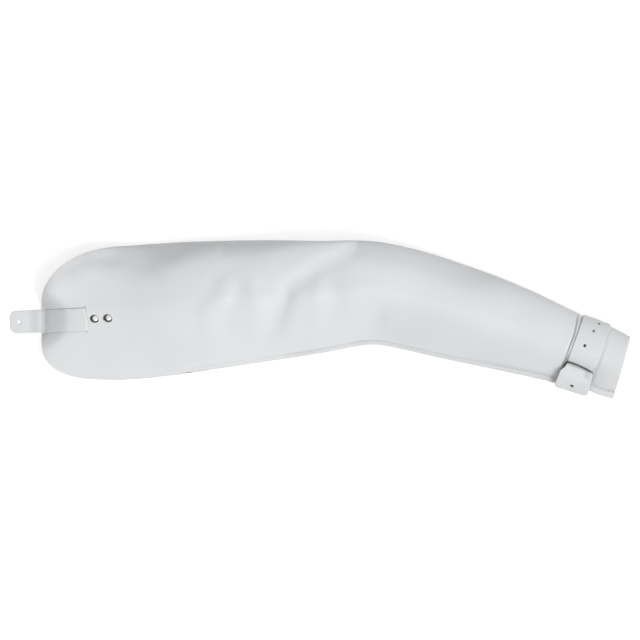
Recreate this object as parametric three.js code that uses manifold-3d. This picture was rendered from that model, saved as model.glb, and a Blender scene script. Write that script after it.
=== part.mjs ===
// White leather arm protector, lying on its side.
// +X runs from the shoulder to the wrist, +Y towards the folded edge, +Z up from the surface it lies on.
// The sleeve is one panel: an upper layer, a rounded fold, and a lower layer sewn to the upper one.

import * as THREE from "three";
import { mergeVertices } from "three/addons/utils/BufferGeometryUtils.js";
import Module from "manifold-3d";

const wasm = await Module();
wasm.setup();

// Driving dimensions, in millimetres
const GAP = 0.3; // clearance between pieces that touch
const SLEEVE_LEATHER = 2.0; // wall of the sleeve
const STRAP_LEATHER = 2.2; // thickness of both straps

const SHOULDER_X = -305.8; // straight end of the shoulder cap
const CAP_FOLD_REACH = 86; // from that end to where the fold starts
const SEAM_START = 160; // from that end to where the seam starts
const SEAM_CLOSING = 50; // length over which the two layers come together before the seam
const CAP_STRAIGHT = [-20.9, 18.7]; // the straight stretch of the cap's end, along Y
const CAP_FOLD_CORNER = { reach: 86, power: 2.0 }; // rounded corner on the fold side
const CAP_SEAM_CORNER = { reach: 82, power: 2.8 }; // squarer corner on the seam side
const BACK_EDGE_POWER = 0.8; // bow of the lower layer's edge at the arm opening
const CORNER_LIFT = 22; // beside the tab the cap is bent nearer to its end, by this much
const CORNER_SIDE = [12, 45]; // from the cap's middle: where that begins, and where it is full
const CORNER_ENDS = [25, 70]; // from the cap's end: where it starts to fade, and where it is gone

const CROWN_SHARE = 0.58; // where a section is highest, from seam (0) to fold (1)
const UNDER_SHARE = 0.8; // where the lower layer lifts off towards the fold
const RISE_SPREAD = 1.2; // brings the points on the rise closer together near the seam

const TAB_WIDTH = 25;
const TAB_TIP_X = -340.7; // free end of the shoulder tab
const TAB_TIP_Y = -3.9;
const TAB_TURN = THREE.MathUtils.degToRad(2.4); // the tab's line, off the X axis
const TAB_CORNER = 7; // rounding of its free end
const TAB_FLAT = 20; // length of the free end that lies on the surface
const TAB_LENGTH = 118; // from the free end to the hidden end under the cap
const TAB_SLIT = 79.7; // from the free end to the middle of the slit in the cap
const TAB_SLIT_LENGTH = 10; // along the tab, as it goes down through the slit
const TAB_DIVE = 6.5; // the tab goes down from this far before the slit's middle to as far after
const TAB_SEAT = 0.5; // clearance of the tab over and under the cap
const TAB_HOLE = { from: 10, radius: 1.7 };
const TAB_COLUMNS = [-1, -1 / 3, 1 / 3, 1]; // points across the tab, as shares of its half width

const RIVET_AT = [93.5, 108.2]; // from the tab's free end
const RIVET = { post: 1.6, head: 5.0, brim: 0.4, dome: 2.2, back: 4.5, backDome: 0.9, sides: 16 };

const STRAP_WIDTH = 32;
const STRAP_AT = 618; // station of the wrist strap's middle
const STRAP_SEAT = 0.5; // clearance of the wrist strap over the sleeve
const STRAP_CORNER = 6; // rounding of its free end
const STRAP_HOLE = 1.5; // radius of the punched holes
const STRAP_HOLES = [
  // up from the seam edge, and to the side, towards the wrist
  { up: 53.8, side: -4 },
  { up: 71.7, side: -0.3 },
  { up: 81.8, side: 2.6 },
];
const TAIL_HOLE = { up: 12, side: -2.5 }; // in the free end
const TAIL = { length: 37, flare: 0.17, shift: -0.4 }; // the free end widens and lies to one side
const STRAP_STEPS = 150; // steps along the strap

const WIRE = 1.0; // radius of the buckle's wire
const BUCKLE_LENGTH = 16; // from the heel bar to the toe bar
const BUCKLE_INSIDE = 33.4; // width inside the frame
const HEEL_CORNER = 2.2; // radius of the frame's corners, at the wire's middle
const TOE_CORNER = 4;
const BUCKLE_BOW = 1.2; // how far the toe bar bows out
const TOE_FROM_EDGE = 31; // from the seam edge up to the toe bar, along the strap
const PRONG = { shank: 1.1, ring: 0.9, reach: 9.5 }; // it ends in the strap's hole
const PRONG_CLEAR = { shank: 0.4, ring: 0.6 }; // the prong's way through the strap

// Sections of the sleeve from shoulder to wrist: the outermost points of the fold and the seam in plan,
// the height of the crown, that of the fold's nose as a share of it, the width of the sewn margin, the
// lift over the wrist strap and the power of the rise from the seam: 1 is round, more is hollow there.
const section = (along, fold, seam, crown, nose, margin, lift, rise) => ({
  along,
  foldX: fold[0],
  foldY: fold[1],
  seamX: seam[0],
  seamY: seam[1],
  crown,
  nose,
  margin,
  lift,
  rise,
});
const SECTIONS = [
  // along, fold, seam, crown, nose, margin, lift, rise
  section(0, [-305.8, 79.8], [-305.8, -67.0], 3, 0.8, 5, 0, 1.2),
  section(10, [-295.8, 79.8], [-295.8, -67.0], 13, 0.8, 5, 0, 1.2),
  section(20, [-285.8, 79.8], [-285.8, -67.0], 21.5, 0.8, 5, 0, 1.2),
  section(30, [-275.8, 79.8], [-275.8, -67.0], 26, 0.8, 5, 0, 1.2),
  section(40, [-265.8, 79.8], [-265.8, -67.0], 28.2, 0.8, 5, 0, 1.2),
  section(60, [-245.8, 79.8], [-245.8, -67.0], 30.5, 0.7, 5, 0, 1.2),
  section(86, [-219.8, 79.8], [-219.8, -67.0], 33, 0.5, 5, 0, 1.2),
  section(120, [-185.8, 82.4], [-185.8, -64.4], 37.5, 0.22, 5, 0, 1.2),
  section(160, [-145, 84.8], [-145, -59.4], 41, 0.24, 5, 0, 1.2),
  section(240, [-65, 86.6], [-65, -47.7], 44, 0.33, 5, 0, 1.2),
  section(305, [0, 85.6], [0, -37.8], 45, 0.75, 5, 0, 1.2),
  section(360, [56, 85.4], [53, -28.2], 46, 0.56, 5, 0, 1.2),
  section(412, [105, 76.2], [82, -31.5], 44, 0.54, 5, 0, 1.2),
  section(470, [160, 59.2], [131, -42.6], 41, 0.47, 5, 0, 1.2),
  section(532, [222, 35.6], [194, -55.8], 36, 0.42, 5.5, 0, 1.1),
  section(586, [275, 10.6], [248, -67.6], 32, 0.42, 6, 1, 1),
  section(596, [283.5, 5.9], [257, -69.9], 32, 0.42, 6, 2, 1),
  section(603, [289.7, 2.1], [264.3, -67.2], 31.5, 0.42, 6.5, 2.7, 1),
  section(620, [305.7, -3.7], [280.3, -73.0], 31.5, 0.42, 7, 2.7, 1),
  section(637, [321.7, -9.5], [296.3, -78.8], 31.5, 0.42, 7.5, 2.7, 1),
  section(660, [340.6, -19.1], [322.9, -85.8], 32, 0.42, 7.5, 1.5, 1),
];
const WRIST_END = SECTIONS.at(-1).along;

// Folds and dents of the upper layer: middle, direction in degrees, half length, half width and height
const FOLDS = [
  { x: -288, y: 53, turn: 46, length: 32, width: 24, height: 5 },
  { x: -13, y: 37, turn: 52, length: 58, width: 15, height: -3.5 },
  { x: -77, y: 8, turn: 80, length: 38, width: 15, height: 1.5 },
  { x: -123, y: 0, turn: 85, length: 32, width: 14, height: 1.2 },
  { x: -9, y: -1, turn: 80, length: 24, width: 12, height: 1.5 },
  { x: 22, y: 8, turn: 90, length: 16, width: 12, height: -2 },
  { x: 67, y: -12, turn: 80, length: 20, width: 12, height: -2.5 },
  { x: -50, y: 70, turn: 12, length: 42, width: 11, height: -2.5 },
  { x: -160, y: 59, turn: 31, length: 34, width: 12, height: -1.8 },
  { x: -126, y: -40, turn: 8, length: 18, width: 10, height: -1.5 },
  { x: -33, y: -28, turn: 9, length: 18, width: 10, height: -1.5 },
  { x: 116, y: -30, turn: -13, length: 20, width: 10, height: -2 },
];

const QUARTER = Math.PI / 2;

// A cubic through one column of the table of sections
function spline(column, along) {
  const last = SECTIONS.length - 1;
  const next = SECTIONS.findIndex((row) => row.along > along);
  const i = next < 0 ? last - 1 : Math.max(next - 1, 0);
  const slope = (k) => {
    const a = SECTIONS[Math.max(k - 1, 0)];
    const b = SECTIONS[Math.min(k + 1, last)];
    return (b[column] - a[column]) / (b.along - a.along);
  };
  const [p, r] = [SECTIONS[i], SECTIONS[i + 1]];
  const step = r.along - p.along;
  const t = THREE.MathUtils.clamp((along - p.along) / step, 0, 1);
  const ease = t * t * (3 - 2 * t);
  const leave = t * (1 - t) * (1 - t) * step * slope(i);
  const arrive = t * t * (t - 1) * step * slope(i + 1);
  return p[column] + (r[column] - p[column]) * ease + leave + arrive;
}

// Heights of a section's crown and of its fold's nose: the crown may be taken from a place further along
function heights(low, along, crownAlong) {
  const crown = spline("crown", crownAlong);
  return { crown, nose: low + (crown - low) * spline("nose", along) };
}

// The sleeve's section at a station: its place in plan and the heights of its middle surface
function station(along) {
  const seam = new THREE.Vector2(spline("seamX", along), spline("seamY", along));
  const across = new THREE.Vector2(spline("foldX", along), spline("foldY", along)).sub(seam);
  const width = across.length() - SLEEVE_LEATHER / 2;
  const low = Math.max(spline("lift", along), 0) + SLEEVE_LEATHER / 2;
  const sewn = THREE.MathUtils.smoothstep(along, SEAM_START - SEAM_CLOSING, SEAM_START);
  const top = low + (SLEEVE_LEATHER + GAP) * sewn;
  return {
    seam,
    across: across.normalize(),
    width,
    low,
    top,
    ...heights(low, along, along),
    margin: spline("margin", along),
    rise: spline("rise", along),
  };
}

// Height added by the folds at a point in plan: each is a long Gaussian ridge or valley
function foldHeight(x, y) {
  let sum = 0;
  for (const fold of FOLDS) {
    const turn = THREE.MathUtils.degToRad(fold.turn);
    const lengthwise = (x - fold.x) * Math.cos(turn) + (y - fold.y) * Math.sin(turn);
    const crosswise = (y - fold.y) * Math.cos(turn) - (x - fold.x) * Math.sin(turn);
    sum += fold.height * Math.exp(-((lengthwise / fold.length) ** 2) - (crosswise / fold.width) ** 2);
  }
  return sum;
}

// A point of a section. v goes round the panel: 0 to 1 upper margin, 1 to 2 rise to the crown,
// 2 to 3 turn down to the nose, 3 to 4 turn under, 4 to 5 flat on the surface, 5 to 6 lower margin.
function sectionPoint(s, v) {
  const crownAt = CROWN_SHARE * s.width;
  const underAt = UNDER_SHARE * s.width;
  const turn = (v % 1) * QUARTER;
  if (v < 1) return { q: s.margin * v, z: s.top, loose: 0 };
  if (v < 2) {
    const t = (v - 1) ** RISE_SPREAD;
    const swell = Math.sin(QUARTER * t);
    const z = s.top + (s.crown - s.top) * swell ** s.rise;
    return { q: s.margin + (crownAt - s.margin) * t, z, loose: swell };
  }
  if (v < 3) {
    const drop = Math.cos(turn);
    const z = s.nose + (s.crown - s.nose) * drop;
    return { q: crownAt + (s.width - crownAt) * Math.sin(turn), z, loose: drop };
  }
  if (v < 4) {
    const z = s.nose - (s.nose - s.low) * Math.sin(turn);
    return { q: underAt + (s.width - underAt) * Math.cos(turn), z, loose: 0 };
  }
  if (v < 5) return { q: underAt + (s.margin - underAt) * (v - 4), z: s.low, loose: 0 };
  return { q: s.margin * (6 - v), z: s.low, loose: 0 };
}

// The sleeve's middle surface. The cap's corners are lifted: they are as high as a place further on.
function sleevePoint(along, v) {
  const s = station(along);
  const { q } = sectionPoint(s, v);
  const x = s.seam.x + s.across.x * q;
  const y = s.seam.y + s.across.y * q;
  const outwards = THREE.MathUtils.smoothstep(Math.abs(y), ...CORNER_SIDE);
  const fading = 1 - THREE.MathUtils.smoothstep(along, ...CORNER_ENDS);
  const lifted = { ...s, ...heights(s.low, along, along + CORNER_LIFT * outwards * fading) };
  const { z, loose } = sectionPoint(lifted, v);
  return new THREE.Vector3(x, y, z + loose * foldHeight(x, y));
}

// Height of the cap's middle surface over a point in plan, where sections are square to X
function capHeight(x, y) {
  const along = x - SHOULDER_X;
  const s = station(along);
  const q = y - s.seam.y;
  let [low, high] = [1, 3];
  for (let i = 0; i < 40; i++) {
    const middle = (low + high) / 2;
    if (sectionPoint(s, middle).q < q) low = middle;
    else high = middle;
  }
  return sleevePoint(along, low).z;
}

// Where the panel starts at the shoulder: the rounded cap on top, the arm opening's edge below
function panelStart(v) {
  const s = station(CAP_FOLD_REACH);
  const { q } = sectionPoint(s, v);
  const backEdge = (1 - q / s.width) ** BACK_EDGE_POWER;
  if (v > 3) return CAP_FOLD_REACH + (SEAM_START - CAP_FOLD_REACH) * backEdge;
  const y = s.seam.y + q;
  const [seamEnd, foldEnd] = CAP_STRAIGHT;
  const corner = y > foldEnd ? CAP_FOLD_CORNER : CAP_SEAM_CORNER;
  const foldSide = (y - foldEnd) / (s.seam.y + s.width - foldEnd);
  const seamSide = (seamEnd - y) / (seamEnd - s.seam.y);
  const out = THREE.MathUtils.clamp(Math.max(foldSide, seamSide), 0, 1);
  return corner.reach * (1 - (1 - out ** corner.power) ** (1 / corner.power));
}

// A closed wall of one thickness about a grid of points of its middle surface
function wall(grid, thickness) {
  const rows = grid.length;
  const columns = grid[0].length;
  const vertices = [];
  const faces = [];
  const normalAt = (i, j) => {
    const down = grid[Math.min(i + 1, rows - 1)][j].clone().sub(grid[Math.max(i - 1, 0)][j]);
    const over = grid[i][Math.min(j + 1, columns - 1)].clone().sub(grid[i][Math.max(j - 1, 0)]);
    return down.cross(over).normalize();
  };
  for (const side of [0.5, -0.5]) {
    for (let i = 0; i < rows; i++) {
      for (let j = 0; j < columns; j++) {
        const p = grid[i][j].clone().addScaledVector(normalAt(i, j), side * thickness);
        vertices.push(p.x, p.y, p.z);
      }
    }
  }
  const outer = (i, j) => i * columns + j;
  const inner = (i, j) => rows * columns + i * columns + j;
  const quad = (a, b, c, d) => faces.push(a, b, c, a, c, d);
  for (let i = 0; i + 1 < rows; i++) {
    for (let j = 0; j + 1 < columns; j++) {
      quad(outer(i, j), outer(i + 1, j), outer(i + 1, j + 1), outer(i, j + 1));
      quad(inner(i, j), inner(i, j + 1), inner(i + 1, j + 1), inner(i + 1, j));
    }
    quad(outer(i, 0), inner(i, 0), inner(i + 1, 0), outer(i + 1, 0));
    const j = columns - 1;
    quad(outer(i, j), outer(i + 1, j), inner(i + 1, j), inner(i, j));
  }
  for (let j = 0; j + 1 < columns; j++) {
    quad(outer(0, j), outer(0, j + 1), inner(0, j + 1), inner(0, j));
    const i = rows - 1;
    quad(outer(i, j), inner(i, j), inner(i, j + 1), outer(i, j + 1));
  }
  return indexed(vertices, faces);
}

function indexed(vertices, faces) {
  const geometry = new THREE.BufferGeometry();
  geometry.setAttribute("position", new THREE.Float32BufferAttribute(vertices, 3));
  geometry.setIndex(faces);
  return geometry;
}

// A solid for cutting and joining, from a closed geometry placed by a matrix
function solid(geometry, matrix = new THREE.Matrix4()) {
  const bare = geometry.clone().applyMatrix4(matrix);
  bare.deleteAttribute("normal");
  bare.deleteAttribute("uv");
  const merged = mergeVertices(bare, 1e-4);
  const vertProperties = Float32Array.from(merged.attributes.position.array);
  const triVerts = Uint32Array.from(merged.index.array);
  return new wasm.Manifold(new wasm.Mesh({ numProp: 3, vertProperties, triVerts }));
}

function geometryOf(body) {
  const mesh = body.getMesh();
  return indexed(Array.from(mesh.vertProperties), Array.from(mesh.triVerts));
}

// A pin along Z, for cutting holes
function pin(radius, length, sides = 16) {
  return new THREE.CylinderGeometry(radius, radius, length, sides).rotateX(QUARTER);
}

// A round bar bent along a closed loop that lies in the XY plane
function ringBar(loop, radius, sides) {
  const vertices = [];
  const faces = [];
  const count = loop.length;
  loop.forEach((point, i) => {
    const ahead = loop[(i + 1) % count].clone().sub(loop[(i + count - 1) % count]).normalize();
    for (let k = 0; k < sides; k++) {
      const turn = (k / sides) * 2 * Math.PI;
      const out = radius * Math.cos(turn);
      vertices.push(point.x + ahead.y * out, point.y - ahead.x * out, radius * Math.sin(turn));
      const [a, b] = [i * sides + k, i * sides + ((k + 1) % sides)];
      const [c, d] = [((i + 1) % count) * sides + k, ((i + 1) % count) * sides + ((k + 1) % sides)];
      faces.push(a, c, b, b, c, d);
    }
  });
  return indexed(vertices, faces);
}

// Half width of a strap near its free end, whose two corners are rounded
function roundedHalfWidth(halfWidth, corner, fromEnd) {
  if (fromEnd >= corner) return halfWidth;
  return halfWidth - corner + Math.sqrt(corner ** 2 - (corner - fromEnd) ** 2);
}

// Places along one piece of a section line, finer towards its ends when spread is above 0
function steps(count, spread) {
  const places = [];
  for (let i = 0; i <= count; i++) {
    const t = i / count;
    places.push(t - (spread * Math.sin(2 * Math.PI * t)) / (2 * Math.PI));
  }
  return places;
}

// The sleeve: its panel as one wall
function sleeveWall() {
  const pieces = [1, 8, 7, 4, 4, 1]; // steps on each stretch of the section line
  const rounds = [0];
  pieces.forEach((count, piece) => {
    for (let i = 1; i <= count; i++) rounds.push(piece + i / count);
  });
  const lengthwise = steps(46, 0.5);
  const grid = lengthwise.map((t) => rounds.map((v) => {
    const start = panelStart(v);
    return sleevePoint(start + (WRIST_END - start) * t, v);
  }));
  return wall(grid, SLEEVE_LEATHER);
}

// The shoulder tab's middle line in its own upright plane: from its free end along its length
const tabAxis = new THREE.Vector2(Math.cos(TAB_TURN), Math.sin(TAB_TURN));
function tabPlace(from) {
  return new THREE.Vector2(TAB_TIP_X, TAB_TIP_Y).addScaledVector(tabAxis, from);
}

// A point of the tab: flat at its free end, then over the cap, down through the slit and under the cap
function tabPoint(from, sideways) {
  const sideAxis = new THREE.Vector2(-tabAxis.y, tabAxis.x);
  const { x, y } = tabPlace(from).addScaledVector(sideAxis, sideways);
  const clear = SLEEVE_LEATHER / 2 + TAB_SEAT + STRAP_LEATHER / 2;
  const lying = STRAP_LEATHER / 2;
  const edge = (SHOULDER_X - TAB_TIP_X) / tabAxis.x;
  const capX = Math.max(x, SHOULDER_X);
  const overCap = capHeight(capX, y);
  const dive = 1 - 2 * THREE.MathUtils.smoothstep(from, TAB_SLIT - TAB_DIVE, TAB_SLIT + TAB_DIVE);
  const slope = Math.hypot(capHeight(capX + 1, y) - overCap, capHeight(capX, y + 1) - overCap);
  const onCap = overCap + dive * clear * Math.hypot(1, slope);
  const lift = THREE.MathUtils.smoothstep(from, TAB_FLAT, edge);
  return new THREE.Vector3(x, y, lying + (onCap - lying) * lift);
}

function tabWall() {
  const lengthwise = [0, 0.6, 1.8, 4, 7, 13]; // closer together round the corners
  for (let from = TAB_FLAT; from < TAB_LENGTH; from += 2.5) lengthwise.push(from);
  lengthwise.push(TAB_LENGTH);
  const grid = lengthwise.map((from) => {
    const half = roundedHalfWidth(TAB_WIDTH / 2, TAB_CORNER, from);
    return TAB_COLUMNS.map((share) => tabPoint(from, share * half));
  });
  return wall(grid, STRAP_LEATHER);
}

// A frame on the cap's surface: origin on the middle surface, Z along its outward normal
function capFrame(from) {
  const { x, y } = tabPlace(from);
  const reach = 3;
  const rise = (capHeight(x + reach, y) - capHeight(x - reach, y)) / (2 * reach);
  const bank = (capHeight(x, y + reach) - capHeight(x, y - reach)) / (2 * reach);
  const normal = new THREE.Vector3(-rise, -bank, 1).normalize();
  const turn = new THREE.Quaternion().setFromUnitVectors(new THREE.Vector3(0, 0, 1), normal);
  return new THREE.Matrix4().makeRotationFromQuaternion(turn).setPosition(x, y, capHeight(x, y));
}

// Half the profile of a dome, from its middle out to its rim
function domeArc(radius, base, height) {
  const count = 4;
  return Array.from({ length: count + 1 }, (_, k) => {
    const out = Math.sin((k / count) * QUARTER);
    return new THREE.Vector2(radius * out, base + height * (1 - out ** 2));
  });
}

// A domed rivet: a post through cap and tab, with a domed head above and a flatter one below
function rivetGeometry() {
  const above = SLEEVE_LEATHER / 2 + GAP;
  const below = -SLEEVE_LEATHER / 2 - STRAP_LEATHER - 3 * GAP;
  const { post, head, brim, dome, back, backDome, sides } = RIVET;
  const profile = [
    ...domeArc(back, below - brim, -backDome),
    new THREE.Vector2(back, below),
    new THREE.Vector2(post, below),
    new THREE.Vector2(post, above),
    new THREE.Vector2(head, above),
    ...domeArc(head, above + brim, dome).reverse(),
  ];
  return new THREE.LatheGeometry(profile, sides).rotateX(QUARTER);
}

// The convex line that a strap drawn tight takes round the cuff, from the seam edge along the
// underside, round the fold and back over the top, with the length along it
function cuffLine(along) {
  const s = station(along);
  const points = [];
  const pieceSteps = 24;
  for (let k = 0; k <= 6 * pieceSteps; k++) {
    const { q, z } = sectionPoint(s, k / pieceSteps);
    points.push(new THREE.Vector2(q, z));
  }
  const edgeMiddle = (s.top + s.low) / 2;
  const edgeRadius = (s.top - s.low) / 2;
  const edgeSteps = 16;
  for (let k = 0; k <= edgeSteps; k++) {
    const turn = QUARTER + (k / edgeSteps) * Math.PI;
    points.push(new THREE.Vector2(edgeRadius * Math.cos(turn), edgeMiddle + edgeRadius * Math.sin(turn)));
  }
  points.sort((a, b) => a.x - b.x || a.y - b.y);
  const chain = (list) => {
    const kept = [];
    for (const p of list) {
      while (kept.length > 1) {
        const [a, b] = kept.slice(-2);
        if (b.clone().sub(a).cross(p.clone().sub(a)) > 1e-9) break;
        kept.pop();
      }
      kept.push(p);
    }
    return kept.slice(0, -1);
  };
  const loop = [...chain(points), ...chain(points.reverse())];
  loop.push(loop[0].clone());
  const lengths = [0];
  for (let i = 1; i < loop.length; i++) lengths.push(lengths[i - 1] + loop[i].distanceTo(loop[i - 1]));
  const count = loop.length - 1;
  const normals = loop.map((_, i) => {
    const ahead = loop[(i % count) + 1].clone().sub(loop[i % count]).normalize();
    const behind = loop[i % count].clone().sub(loop[((i % count) + count - 1) % count]).normalize();
    const tangent = ahead.add(behind).normalize();
    return new THREE.Vector2(tangent.y, -tangent.x);
  });
  return { s, loop, lengths, normals, length: lengths[count] };
}

// A point at a distance along that line and a height over it, in the section's plane
function overCuff(line, distance, height) {
  const at = THREE.MathUtils.euclideanModulo(distance, line.length);
  const i = Math.max(line.lengths.findIndex((length) => length > at) - 1, 0);
  const t = (at - line.lengths[i]) / (line.lengths[i + 1] - line.lengths[i]);
  const normal = line.normals[i].clone().lerp(line.normals[i + 1], t).normalize();
  return line.loop[i].clone().lerp(line.loop[i + 1], t).addScaledVector(normal, height);
}

// The wrist strap's heights over the cuff: its first turn, the heel bar, and the fold round that bar
const FIRST = SLEEVE_LEATHER / 2 + STRAP_SEAT + STRAP_LEATHER / 2;
const FOLD_RADIUS = WIRE + GAP + STRAP_LEATHER / 2;
const BAR_HEIGHT = FIRST + FOLD_RADIUS;
const OVER_BAR = BAR_HEIGHT + FOLD_RADIUS;
const LAYER = STRAP_LEATHER + GAP;
const SECOND = STRAP_LEATHER + 3 * GAP; // the second turn slants over the first, so it needs more
const EDGE_TURN = (QUARTER * (SLEEVE_LEATHER + GAP)) / 2; // from the seam edge round to the underside
const HEEL = TOE_FROM_EDGE - BUCKLE_LENGTH;

// The strap's way from the toe bar through the buckle and over the heel bar
const THROUGH_BUCKLE = [
  { pastToe: -6, height: FIRST },
  { pastToe: 0, height: FIRST },
  { pastToe: 3.4, height: FIRST + 0.7 },
  { pastToe: 9.1, height: OVER_BAR + LAYER - 2.6 },
  { pastToe: BUCKLE_LENGTH, height: OVER_BAR + LAYER },
];
// Its way down from the heel bar to the seam edge: the second turn lies higher by SECOND
const DOWN_TO_EDGE = [
  { pastHeel: 4, height: OVER_BAR - 0.9 },
  { pastHeel: 9, height: FIRST + LAYER + 0.2 },
  { pastHeel: HEEL - 3, height: FIRST + LAYER - 1 },
  { pastHeel: HEEL + 0.5, height: FIRST + 0.7 },
];
const RETURN = [7.5, 3]; // the strap's sewn end, under the fold: from and to, past the heel bar
const TAIL_HOLE_HEIGHT = OVER_BAR + SECOND - 0.8;

// The strap's middle line as distance from the seam edge and height over the cuff: from the sewn end
// under the heel bar, round the bar, once round the cuff, through the buckle, to the free end
function strapRoute(length) {
  const route = RETURN.map((past) => [-HEEL + past, FIRST]);
  const foldSteps = 6;
  for (let k = 0; k <= foldSteps; k++) {
    const turn = -QUARTER + (k / foldSteps) * Math.PI;
    route.push([-HEEL - FOLD_RADIUS * Math.cos(turn), BAR_HEIGHT + FOLD_RADIUS * Math.sin(turn)]);
  }
  for (const { pastHeel, height } of DOWN_TO_EDGE) route.push([-HEEL + pastHeel, height]);
  route.push([EDGE_TURN, FIRST], [3 * EDGE_TURN, FIRST]);
  for (let share = 0.1; share < 0.8; share += 0.1) route.push([share * length, FIRST]);
  for (const { pastToe, height } of THROUGH_BUCKLE) route.push([length - TOE_FROM_EDGE + pastToe, height]);
  for (const { pastHeel, height } of DOWN_TO_EDGE) route.push([length - HEEL + pastHeel, height + SECOND]);
  const points = route.map(([distance, height]) => new THREE.Vector3(distance, height, 0));
  return new THREE.CatmullRomCurve3(points, false, "centripetal");
}

const cuff = cuffLine(STRAP_AT);

// A point of the section's plane at the strap, moved sideways along the sleeve
function atCuff(point, sideways) {
  const { seam, across } = cuff.s;
  const place = new THREE.Vector3(seam.x + across.x * point.x, seam.y + across.y * point.x, point.y);
  return place.add(new THREE.Vector3(across.y, -across.x, 0).multiplyScalar(sideways));
}

// The strap as one wall, with even steps along its line
function strapWall() {
  const route = strapRoute(cuff.length);
  const fine = route.getPoints(6 * STRAP_STEPS).map((p) => overCuff(cuff, p.x, p.y));
  const lengths = [0];
  for (let i = 1; i < fine.length; i++) lengths.push(lengths[i - 1] + fine[i].distanceTo(fine[i - 1]));
  const total = lengths.at(-1);
  const grid = [];
  for (let k = 0; k <= STRAP_STEPS; k++) {
    const at = (k / STRAP_STEPS) * total;
    const next = lengths.findIndex((length) => length >= at);
    const i = Math.max(next - 1, 0);
    const t = (at - lengths[i]) / (lengths[i + 1] - lengths[i]);
    const point = fine[i].clone().lerp(fine[i + 1], t);
    const inTail = 1 - THREE.MathUtils.smoothstep(total - at, 0, TAIL.length);
    const half = roundedHalfWidth(STRAP_WIDTH / 2, STRAP_CORNER, total - at) * (1 + TAIL.flare * inTail);
    grid.push([1, 0, -1].map((share) => atCuff(point, share * half + TAIL.shift * inTail)));
  }
  return wall(grid, STRAP_LEATHER);
}

// A frame on the strap's line: X along the sleeve, Z outwards, Y up the front towards the line's point
// that is a length further up
function cuffFrame(fromEdge, height, sideways, length) {
  const at = cuff.length - fromEdge;
  const place = atCuff(overCuff(cuff, at, height), sideways);
  const up = atCuff(overCuff(cuff, at - length, height), sideways).sub(place).normalize();
  const side = new THREE.Vector3(cuff.s.across.y, -cuff.s.across.x, 0);
  const out = side.clone().cross(up).normalize();
  return new THREE.Matrix4().makeBasis(side, up, out).setPosition(place);
}

// The buckle's frame, in the XY plane with its heel bar on the X axis
function buckleGeometry() {
  const half = BUCKLE_INSIDE / 2 + WIRE;
  const loop = new THREE.Shape();
  loop.moveTo(-half + HEEL_CORNER, 0);
  loop.lineTo(half - HEEL_CORNER, 0);
  loop.absarc(half - HEEL_CORNER, HEEL_CORNER, HEEL_CORNER, -QUARTER, 0);
  loop.absarc(half - TOE_CORNER, BUCKLE_LENGTH - TOE_CORNER, TOE_CORNER, 0, QUARTER);
  loop.quadraticCurveTo(0, BUCKLE_LENGTH + 2 * BUCKLE_BOW, -half + TOE_CORNER, BUCKLE_LENGTH);
  loop.absarc(-half + TOE_CORNER, BUCKLE_LENGTH - TOE_CORNER, TOE_CORNER, QUARTER, 2 * QUARTER);
  loop.absarc(-half + HEEL_CORNER, HEEL_CORNER, HEEL_CORNER, 2 * QUARTER, 3 * QUARTER);
  const points = loop.getPoints(6);
  const same = (a, b) => a.distanceTo(b) < 0.05;
  const distinct = points.filter((p, i) => i === 0 || !same(p, points[i - 1]));
  if (same(distinct.at(-1), distinct[0])) distinct.pop();
  return ringBar(distinct, WIRE, 10);
}

// The prong: a ring round the heel bar and a shank, each thickened by what clears it
function prongSolid(clear = { shank: 0, ring: 0 }) {
  const ringRadius = WIRE + GAP + PRONG.ring;
  const ring = new THREE.TorusGeometry(ringRadius, PRONG.ring + clear.ring, 8, 18).rotateY(QUARTER);
  const radius = PRONG.shank + clear.shank;
  const reach = PRONG.reach + 4 * clear.shank;
  const shank = new THREE.CylinderGeometry(radius, radius, reach - ringRadius, 10);
  shank.translate(0, (ringRadius + reach) / 2, 0);
  return solid(ring).add(solid(shank));
}

const leather = { color: 0xe4e6e8, roughness: 0.55, metalness: 0 };
const nickel = { color: 0xb9bbbd, roughness: 0.22, metalness: 1 };
const group = new THREE.Group();

function addMesh(name, geometry, finish, matrix) {
  const mesh = new THREE.Mesh(geometry, new THREE.MeshStandardMaterial(finish));
  mesh.name = name;
  if (matrix) matrix.decompose(mesh.position, mesh.quaternion, mesh.scale);
  group.add(mesh);
}

// Sleeve and tab, cut for the rivets, the slit and the tab's hole
let sleeve = solid(sleeveWall());
let tab = solid(tabWall());
const rivetFrames = RIVET_AT.map(capFrame);
for (const frame of rivetFrames) {
  const bore = solid(pin(RIVET.post + GAP, 6 * STRAP_LEATHER), frame);
  sleeve = sleeve.subtract(bore);
  tab = tab.subtract(bore);
}
const slit = new THREE.BoxGeometry(TAB_SLIT_LENGTH, TAB_WIDTH + 8 * GAP, 4 * SLEEVE_LEATHER);
sleeve = sleeve.subtract(solid(slit.rotateZ(TAB_TURN), capFrame(TAB_SLIT)));
const tabHole = tabPlace(TAB_HOLE.from);
const tabHoleFrame = new THREE.Matrix4().makeTranslation(tabHole.x, tabHole.y, 0);
tab = tab.subtract(solid(pin(TAB_HOLE.radius, 4 * STRAP_LEATHER), tabHoleFrame));
addMesh("sleeve", geometryOf(sleeve), leather);
addMesh("shoulder_tab", geometryOf(tab), leather);
rivetFrames.forEach((frame, i) => addMesh(`shoulder_rivet_${i + 1}`, rivetGeometry(), nickel, frame));

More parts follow.
